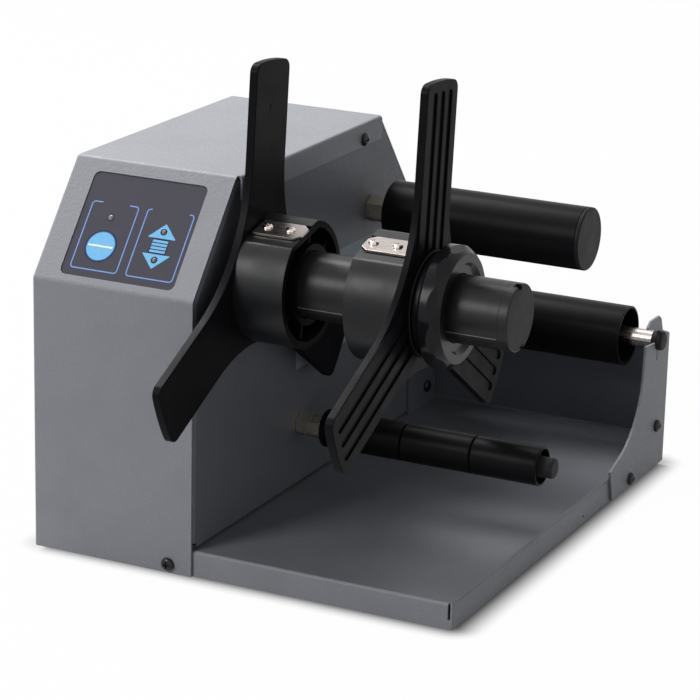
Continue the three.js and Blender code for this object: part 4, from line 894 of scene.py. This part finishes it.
def make_lamps():
    for name, (x, s, radius) in LAMPS.items():
        dome = [(PANEL_FACE + rise, radius * share) for rise, share in LAMP_DOME]
        dome = lathe([(-LAMP_DEPTH, 0), (-LAMP_DEPTH, radius)] + dome, TINY)
        moved(dome, Matrix.Translation((x, s, 0)) @ turned(-90, "Y"))
        piece(f"{name}_lens", on_slope(dome), name)


def cross_recess(low, high, half, arm):
    """Cutters of a cross recess along X."""
    return [box(low, high, -half, half, -arm, arm), box(low, high, -arm, arm, -half, half)]


def screw(node, matrix):
    """Pan head screw along X with its seat at the origin and a cross recess in its head."""
    dome = [(SCREW_HEIGHT * rise, SCREW_RADIUS * share) for rise, share in SCREW_DOME]
    seat = [(-SCREW_DEPTH, 0), (-SCREW_DEPTH, SCREW_SHANK), (0, SCREW_SHANK), (0, SCREW_RADIUS - CUT_EDGE)]
    head = lathe(seat + [(CUT_EDGE, SCREW_RADIUS)] + dome, TINY)
    piece(f"{node}_head", moved(carved(head, *cross_recess(*SCREW_CROSS)), matrix), node)


def make_screws():
    x, z = FRONT_SCREW
    screw("cover_screw", Matrix.Translation((x, -GAP, z)) @ turned(-90, "Z"))
    for node, (x, y, z) in SIDE_SCREWS.items():
        screw(node, Matrix.Translation((x + GAP, y, z)))


def arm_tip(turn):
    """Round-cornered tip of the arm at an angle, from its near side to its far side."""
    corner_v = ARM_WIDTH / 2 - ARM_CORNER
    corner_u = math.sqrt((ARM_REACH - ARM_CORNER) ** 2 - corner_v ** 2)
    lean = math.degrees(math.atan2(corner_v, corner_u))
    lengthwise = Vector(polar(1, turn))
    across = Vector((-lengthwise.y, lengthwise.x))
    points = arc(lengthwise * corner_u - across * corner_v, ARM_CORNER, turn - 90, turn - lean, 8)
    points += arc((0, 0), ARM_REACH, turn - lean, turn + lean, 10)[1:-1]
    return points + arc(lengthwise * corner_u + across * corner_v, ARM_CORNER, turn + lean, turn + 90, 8)


def arms_outline():
    """Three straight arms with round-cornered tips, joined by hollow curves."""
    half = ARM_WIDTH / 2
    hollow_radius = (ARM_NECK * math.sin(math.pi / 3) - half) / (1 - math.sin(math.pi / 3))
    hollow_reach = ARM_NECK + hollow_radius
    points = []
    for turn in ARM_TURNS:
        points += arm_tip(turn)
        points += arc(polar(hollow_reach, turn + 60), hollow_radius, turn - 90, turn - 150, 20)
    return points


def bars_outline():
    """The three straight arms alone, their sides run in until they meet."""
    points = []
    meeting = ARM_WIDTH / 2 / math.sin(math.pi / 3)
    for turn in ARM_TURNS:
        points += arm_tip(turn) + [polar(meeting, turn + 60)]
    return points


def groove(turn, offset):
    """Outline of a groove along an arm, round at both ends."""
    start, end = NECK_RADIUS + GROOVE_RADIUS, ARM_REACH - GROOVE_INSET - GROOVE_RADIUS
    points = arc((end, offset), GROOVE_RADIUS, -90, 90, 8) + arc((start, offset), GROOVE_RADIUS, 90, 270, 8)
    return rotated(points, turn)


def arms_plate(back, face, grooved):
    """Arm plate. The grooved one has its straight arms raised in a second layer with the grooves as holes."""
    bore = circle((0, 0), BORE, 96)
    if not grooved:
        return softened(plate([arms_outline(), bore], back, face), ARM_EDGE, 3)
    low = plate([arms_outline(), bore], back, face - WEB_DROP)
    softened(low, ARM_EDGE, 3, where=lambda co: co.x < back + NEAR)
    grooves = [groove(turn, offset) for turn in ARM_TURNS for offset in GROOVE_OFFSETS]
    high = plate([bars_outline(), bore] + grooves, face - WEB_DROP, face)
    softened(high, BAR_EDGE, where=lambda co: co.x > face - NEAR)
    return together(low, high)


def drum_section():
    """Outside of a drum's wall: a circle with a flat and a stepped pocket for the grip plate."""
    bed = GRIP_LEVEL - GRIP_THICK - GAP
    rear = GRIP_FRONT - GRIP_WIDTH - GAP
    flat = math.sqrt(DRUM_RADIUS ** 2 - GRIP_LEVEL ** 2)
    ledge = math.sqrt(DRUM_RADIUS ** 2 - bed ** 2)
    points = rotated([(GRIP_LEVEL, -flat), (GRIP_LEVEL, rear), (bed, rear), (bed, ledge)], GRIP_ANGLE)
    start = GRIP_ANGLE + math.degrees(math.atan2(ledge, bed))
    end = GRIP_ANGLE + 360 - math.degrees(math.atan2(flat, GRIP_LEVEL))
    return points + arc((0, 0), DRUM_RADIUS, start, end, 100)[1:-1]


def drum(x0, x1, free):
    """Ribbed drum that a core slides over, open at its free end."""
    inner = DRUM_RADIUS - DRUM_WALL
    half = math.degrees(math.acos((GRIP_LEVEL - GRIP_THICK - GAP - POCKET_WALL) / inner))
    hollow = arc((0, 0), inner, GRIP_ANGLE + half, GRIP_ANGLE + 360 - half, 90)
    wall = plate([drum_section(), hollow], x0, x1)
    softened(wall, DRUM_EDGE, where=lambda co: abs(co.x - free) < NEAR)
    boss = lathe(ring_profile(x0, x1, BORE, BOSS_RADIUS, DRUM_EDGE, 2), ROUND)
    ends = (x0, x1 - RIB_SETBACK) if free == x1 else (x0 + RIB_SETBACK, x1)
    ribs = []
    for rib in range(RIB_COUNT):
        blade = box(*ends, RIB_START, inner + OVERLAP, -RIB_HALF, RIB_HALF)
        ribs.append(moved(blade, turned(RIB_TURN + rib * 360 / RIB_COUNT)))
    return together(wall, boss, *ribs)


def on_drum(middle, normal):
    """Accepts the outside of the two drums, and of the neck outside the outer arms."""
    radius = math.hypot(middle.y - AXIS_Y, middle.z - AXIS_Z)
    outward = abs(normal.x) < 0.5 and BOSS_RADIUS < radius < ARM_NECK
    return outward and (INNER_FACE < middle.x < OUTER_BACK or middle.x > OUTER_FACE + OVERLAP)


def make_inner_flange():
    start, end = INNER_FACE - OVERLAP, INNER_FACE + EJECTOR_RISE
    dot = lathe([(start, 0), (start, EJECTOR_RADIUS), (end, EJECTOR_RADIUS), (end, 0)], 32, *EJECTOR_DOT)
    ribbed = drum(start, INNER_DRUM_END, INNER_DRUM_END)
    flange = together(arms_plate(INNER_BACK, INNER_FACE, False), ribbed, dot)
    made = piece("inner_flange_arms", at_spindle(flange), "inner_flange", "reel")
    refinished(made, "drum_plastic", on_drum)


def make_outer_flange():
    """Grooved arms, their drum inwards, and outwards a stepped neck with the collet."""
    face, step = OUTER_FACE, OUTER_FACE + NECK_LENGTH
    neck = fillet([
        (face - NECK_FOOT, BORE), (face + COLLET_LENGTH, BORE), (face + COLLET_LENGTH, COLLET_RADIUS),
        (step, COLLET_RADIUS), (step, NECK_RADIUS), (face + NECK_FOOT, NECK_RADIUS),
        (face + NECK_FOOT, NECK_FOOT_RADIUS), (face - NECK_FOOT, NECK_FOOT_RADIUS),
    ], [0, 0, 0.5, 0, 0.6, 0, 0.6, 0], 3)
    ribbed = drum(OUTER_DRUM_END, OUTER_BACK + OVERLAP, OUTER_DRUM_END)
    flange = together(arms_plate(OUTER_BACK, face, True), ribbed, lathe(neck, ROUND))
    made = piece("outer_flange_arms", at_spindle(flange), "outer_flange", "sliding_flange")
    refinished(made, "drum_plastic", on_drum)


def make_grip(side, free_end, sign, body):
    """Steel grip plate flush with its drum, chamfered at the free end and held by two domed screws."""
    fixed = free_end - sign * GRIP_LENGTH
    shoulder = free_end - sign * GRIP_CHAMFER
    rear = GRIP_FRONT - GRIP_WIDTH
    outline = [(fixed, GRIP_FRONT), (shoulder, GRIP_FRONT), (free_end, GRIP_FRONT - GRIP_CHAMFER),
               (free_end, rear + GRIP_CHAMFER), (shoulder, rear), (fixed, rear)]
    blank = softened(plate([fillet(outline, GRIP_CORNER, 3)], 0, GRIP_THICK, "Z"), CUT_EDGE)
    upright = AT_AXIS @ turned(GRIP_ANGLE - 90)
    flipped = Matrix.Scale(-1, 4, (0, 1, 0))
    moved(blank, upright @ flipped @ Matrix.Translation((0, 0, GRIP_LEVEL - GRIP_THICK)))
    bmesh.ops.recalc_face_normals(blank, faces=blank.faces[:])
    node = f"{side}_grip_plate"
    piece(f"{node}_steel", blank, node, body)
    middle = GRIP_FRONT - GRIP_WIDTH / 2
    for number, x in enumerate(GRIP_SCREWS[side], 1):
        base = Matrix.Translation((x, -middle, GRIP_LEVEL)) @ turned(-90, "Y")
        head = carved(lathe(list(GRIP_HEAD), TINY), *cross_recess(*GRIP_CROSS))
        head = moved(head, upright @ base)
        piece(f"{side}_grip_screw_{number}", head, None, body, "bright_steel", "polished_screw")


def make_spindle():
    tube = ring_profile(SPINDLE_START, SPINDLE_SEAM, SPINDLE_BORE, SPINDLE_RADIUS, [0, 0, 0.1, 0.8])
    piece("spindle_sleeve", at_spindle(lathe(tube, SMOOTH)), "spindle_tube", "reel")
    # A light strip along the spindle's slot line: painted highlight.
    half, top = SPINDLE_LINE["half"], SPINDLE_RADIUS + SPINDLE_LINE["rise"]
    line = box(SPINDLE_LINE["start"], SPINDLE_LINE["end"], SPINDLE_RADIUS - OVERLAP, top, -half, half)
    line = at_spindle(moved(line, turned(SPINDLE_LINE["turn"])))
    piece("spindle_line", line, None, "reel", "spindle_metal", "slot_line_highlight")
    cap = disc_profile(SPINDLE_SEAM + 0.06, SPINDLE_END, SPINDLE_RADIUS, (0.1, 0.9))
    depth, half = CAP_NOTCH["depth"], CAP_NOTCH["half"]
    notches = []
    for turn in CAP_NOTCH["turns"]:
        notch = box(SPINDLE_END - depth, SPINDLE_END + PAST, SPINDLE_RADIUS - depth, SPINDLE_RADIUS + PAST,
                    -half, half)
        notches.append(moved(notch, turned(turn)))
    cap = softened(carved(lathe(cap, SMOOTH), *notches), CUT_EDGE, angle=50)
    made = piece("spindle_cap", at_spindle(cap), "spindle_end_cap", "reel", finish="spindle_metal")
    # The cap's flat end face takes the lighter plastic: painted sheen.
    refinished(made, "cap_plastic_painted_sheen", lambda middle, normal: normal.x > 0.95)


def make_knob():
    """Rounded ring with lens-shaped flats round its shoulder that clamps the outer flange."""
    start = OUTER_FACE + NECK_LENGTH + GAP
    inside = OUTER_FACE + COLLET_LENGTH + GAP
    floor, rim = KNOB_DISH_RADII
    profile = fillet([
        (start, COLLET_RADIUS + GAP), (inside, COLLET_RADIUS + GAP), (inside, BORE), (KNOB_DISH, BORE),
        (KNOB_DISH, floor), (KNOB_END, rim), (KNOB_END, KNOB_RADIUS - KNOB_SHOULDER),
        (KNOB_END - KNOB_SHOULDER, KNOB_RADIUS), (start + KNOB_HEEL, KNOB_RADIUS),
        (start, KNOB_RADIUS - KNOB_HEEL),
    ], [0, 0, 0, 0.3, 0.6, 0.8, 1.5, 3.0, 1.0, 1.0], 5)
    leaning = Matrix.Translation((KNOB_FLAT_START, KNOB_RADIUS, 0)) @ turned(KNOB_FLAT_LEAN, "Z")
    cutters = []
    for k in range(KNOB_FLATS):
        flat = moved(box(*KNOB_FLAT_BOX), leaning)
        cutters.append(moved(flat, turned(KNOB_FLAT_TURN + 360 / KNOB_FLATS * k)))
    ring = softened(carved(lathe(profile, 180), *cutters), SHEET_EDGE, angle=12)
    piece("lock_knob_ring", at_spindle(ring), "lock_knob", "knob", finish="knob_plastic")


def make_upper_roller():
    start, end = UPPER["start"], UPPER["start"] + UPPER["length"]
    seam = end - UPPER_CAP
    sleeve = ring_profile(start, seam - GAP, UPPER["bore"], UPPER["radius"], [0, 0, 0.2, 0.8])
    piece("upper_roller_sleeve", lathe(sleeve, SMOOTH, *UPPER["spot"]), "upper_roller", "upper_idler")
    cap = disc_profile(seam, end, UPPER["radius"], (0.2, 0.9))
    cap = lathe(cap, SMOOTH, *UPPER["spot"])
    # The end cap takes the lighter plastic: painted sheen.
    piece("upper_roller_end", cap, "upper_roller_cap", "upper_idler", finish="cap_plastic_painted_sheen")


def make_rear_roller():
    bore = REAR["radius"] - REAR_WALL
    tube = ring_profile(REAR["start"], REAR["end"], bore, REAR["radius"], 0.4)
    piece("rear_roller_tube", lathe(tube, SMOOTH, *REAR["spot"]), "rear_roller", "rear_idler")
    for node, x in BUSHES.items():
        bush = ring_profile(x, x + BUSH_LENGTH, REAR["bore"], bore - GAP, 0.6)
        piece(f"{node}_ring", lathe(bush, ROUND, *REAR["spot"]), node, "rear_idler")


def make_lower_roller():
    """Three short rollers in a row, the last one recessed round the plug on their shaft."""
    bore, radius, start = LOWER["bore"], LOWER["radius"], LOWER["start"]
    for number, length in enumerate(LOWER_LENGTHS, 1):
        end = start + length
        profile = ring_profile(start, end, bore, radius, [0, 0, 0.9, 0.9], 4)
        if length == LOWER_LENGTHS[-1]:
            floor, rim = end - LOWER_RECESS, radius - LOWER_RIM
            profile = [(start, bore), (floor, bore), (floor, rim), (end, rim), (end, radius), (start, radius)]
            profile = fillet(profile, [0, 0, 0.5, 0.3, 0.9, 0.9], 4)
        name = f"lower_roller_{number}"
        piece(f"{name}_sleeve", lathe(profile, ROUND, *LOWER["spot"]), name, f"lower_idler_{number}")
        start = end + LOWER_GAP
    face = end + GAP
    plug = lathe(cup_profile(face - LOWER_RECESS, face, PLUG), SMALL, *LOWER["spot"])
    piece("lower_roller_plug", plug, "lower_end_cap")


def make_feet():
    first, last = FOOT_RADII
    for index in range(FOOT_COUNT):
        node = f"foot_{index + 1}"
        low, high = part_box(node)
        middle = (low + high) / 2
        base = TO_ROW.inverted() @ Vector((middle.x, middle.y, low.z))
        profile = [(0, 0), (0, first), (FOOT_HEIGHT, last), (FOOT_HEIGHT, 0)]
        pad = lathe(fillet(profile, [0, 0.8, 0.5, 0], closed=False), SMALL)
        piece(f"{node}_pad", moved(pad, Matrix.Translation(base) @ turned(-90, "Y")), node)


def make_rear_shaft_end():
    """The button on the rear roller's shaft, and a black ring round the shaft in the bracket's slot that
    darkens it there.
    """
    start = BRACKET_OUTSIDE + GAP
    button = lathe(cup_profile(start, start, BUTTON), SMALL, *REAR["spot"])
    piece("rear_shaft_button", button, "rear_shaft_cap")
    # A black ring round the shaft in the bracket's slot darkens the shaft there.
    collar = ring_profile(SLOT_RING["start"], BRACKET_OUTSIDE, SLOT_RING["bore"], SLOT_RING["radius"], 0)
    piece("rear_shaft_slot_ring", lathe(collar, SMALL, *REAR["spot"]), slot="rubber")


def dress_cad_nodes():
    """Gives the CAD nodes their materials, and slightly rounded edges to the right bracket and the power
    inlet, switch and rocker.
    """
    own = {f"power_{part}": "switch_plastic" for part in ("inlet", "switch", "rocker")}
    own |= {"upper_roller_nut": "nut_steel", "lower_roller_nut": "nut_steel"}
    for name, node in frame["nodes"].items():
        node.data.materials.clear()
        node.data.materials.append(MATERIALS[own.get(name, NODE_SLOTS[name])])
    for name in ("right_bracket", *own):
        bevel = frame["nodes"][name].modifiers.new("soft edges", "BEVEL")
        bevel.width = SHEET_EDGE * MM
        bevel.segments = 2
        bevel.limit_method = "ANGLE"
        bevel.angle_limit = math.radians(35)


def add_camera():
    data = bpy.data.cameras.new("camera")
    data.lens = LENS
    data.shift_x, data.shift_y = SHIFT
    data.clip_start, data.clip_end = CLIP
    camera = in_scene("camera", data)
    heading = turned(AZIMUTH, "Z") @ turned(90 - ELEVATION) @ turned(ROLL, "Z")
    camera.matrix_world = Matrix.Translation(TO_ROW @ Vector(CAMERA_PLACE)) @ heading
    bpy.context.scene.camera = camera


def computed(tree, operation, *inputs, clamp=False):
    """Result of a math node."""
    node = added(tree, "Math")
    node.operation = operation
    node.use_clamp = clamp
    for socket, value in zip(node.inputs, inputs):
        fed(tree, socket, value)
    return node.outputs["Value"]


def blended(tree, share, low, high, output):
    """Links two shaders, mixed by a share, to an output's surface."""
    mix = added(tree, "MixShader")
    for socket, source in zip(mix.inputs, (share, low, high)):
        fed(tree, socket, source)
    fed(tree, tree.nodes[output].inputs["Surface"], mix.outputs["Shader"])


def seen_directly(tree):
    """One where a camera, glossy or transmission ray looks, otherwise nothing."""
    rays = added(tree, "LightPath").outputs
    seen = computed(tree, "MAXIMUM", rays["Is Camera Ray"], rays["Is Glossy Ray"])
    return computed(tree, "MAXIMUM", seen, rays["Is Transmission Ray"])


def add_world():
    """Soft sky light, seen as plain white."""
    world = bpy.data.worlds.new("studio")
    bpy.context.scene.world = world
    world.use_nodes = True
    tree = world.node_tree
    soft = tree.nodes["Background"]
    soft.inputs["Color"].default_value = SKY_TINT
    soft.inputs["Strength"].default_value = SKY_STRENGTH
    white = added(tree, "Background", Color=WHITE)
    blended(tree, seen_directly(tree), soft.outputs[0], white.outputs[0], "World Output")


def glow_past_painted_shadow(tree):
    """Share of glow: none on the ground under the machine, rising to the floor's full glow close beside it;
    the band where it rises is a painted shadow along the base.
    """
    split = added(tree, "SeparateXYZ", Vector=added(tree, "TexCoord").outputs["Object"])
    beyond = added(tree, "CombineXYZ")
    for axis, (near, far) in (("X", PAINTED_SHADOW_X), ("Y", PAINTED_SHADOW_Y)):
        shifted = computed(tree, "SUBTRACT", split.outputs[axis], (near + far) / 2)
        size = computed(tree, "ABSOLUTE", shifted)
        fed(tree, beyond.inputs[axis], computed(tree, "SUBTRACT", size, (far - near) / 2, clamp=True))
    distance = added(tree, "VectorMath", Vector=beyond.outputs["Vector"])
    distance.operation = "LENGTH"
    rise = added(tree, "MapRange", Value=distance.outputs["Value"], From_Max=PAINTED_SHADOW_FADE, To_Max=FLOOR_GLOW)
    rise.interpolation_type = "SMOOTHSTEP"
    return rise.outputs["Result"]


def add_floor():
    """Matt floor that catches the machine's shadow, seen as white away from it; close beside the base the
    white fades out, which paints a shadow there.
    """
    mesh = bmesh.new()
    bmesh.ops.create_grid(mesh, x_segments=1, y_segments=1, size=FLOOR_SIZE)
    floor = in_scene("floor", as_data("floor", mesh))
    material = bpy.data.materials.new("studio_floor")
    material.use_nodes = True
    tree = material.node_tree
    tree.nodes.remove(tree.nodes["Principled BSDF"])
    matt = added(tree, "BsdfDiffuse", Color=FLOOR_GREY)
    glow = added(tree, "Emission")
    # The glow stays off close to the machine: painted shadow.
    share = computed(tree, "MULTIPLY", seen_directly(tree), glow_past_painted_shadow(tree))
    blended(tree, share, matt.outputs[0], glow.outputs[0], "Material Output")
    floor.data.materials.append(material)


def add_lights():
    for name, (spot, side, power) in LIGHTS.items():
        data = bpy.data.lights.new(name, "AREA")
        data.size = side
        data.energy = power
        light = in_scene(name, data)
        light.location = spot
        light.rotation_euler = (Vector(LIGHT_TARGET) - light.location).to_track_quat("-Z", "Y").to_euler()


add_camera()
add_world()
add_floor()
add_lights()
make_cover()
make_cover_strip()
make_side_plate()
make_tray_floor()
make_tray_walls()
make_panel()
make_direction_key()
make_start_key()
make_lamps()
make_screws()
make_inner_flange()
make_outer_flange()
make_grip("inner", INNER_DRUM_END, 1, "reel")
make_grip("outer", OUTER_DRUM_END, -1, "sliding_flange")
make_spindle()
make_knob()
make_upper_roller()
make_rear_roller()
make_lower_roller()
make_feet()
make_rear_shaft_end()
dress_cad_nodes()
bpy.context.scene.view_settings.view_transform = "Standard"
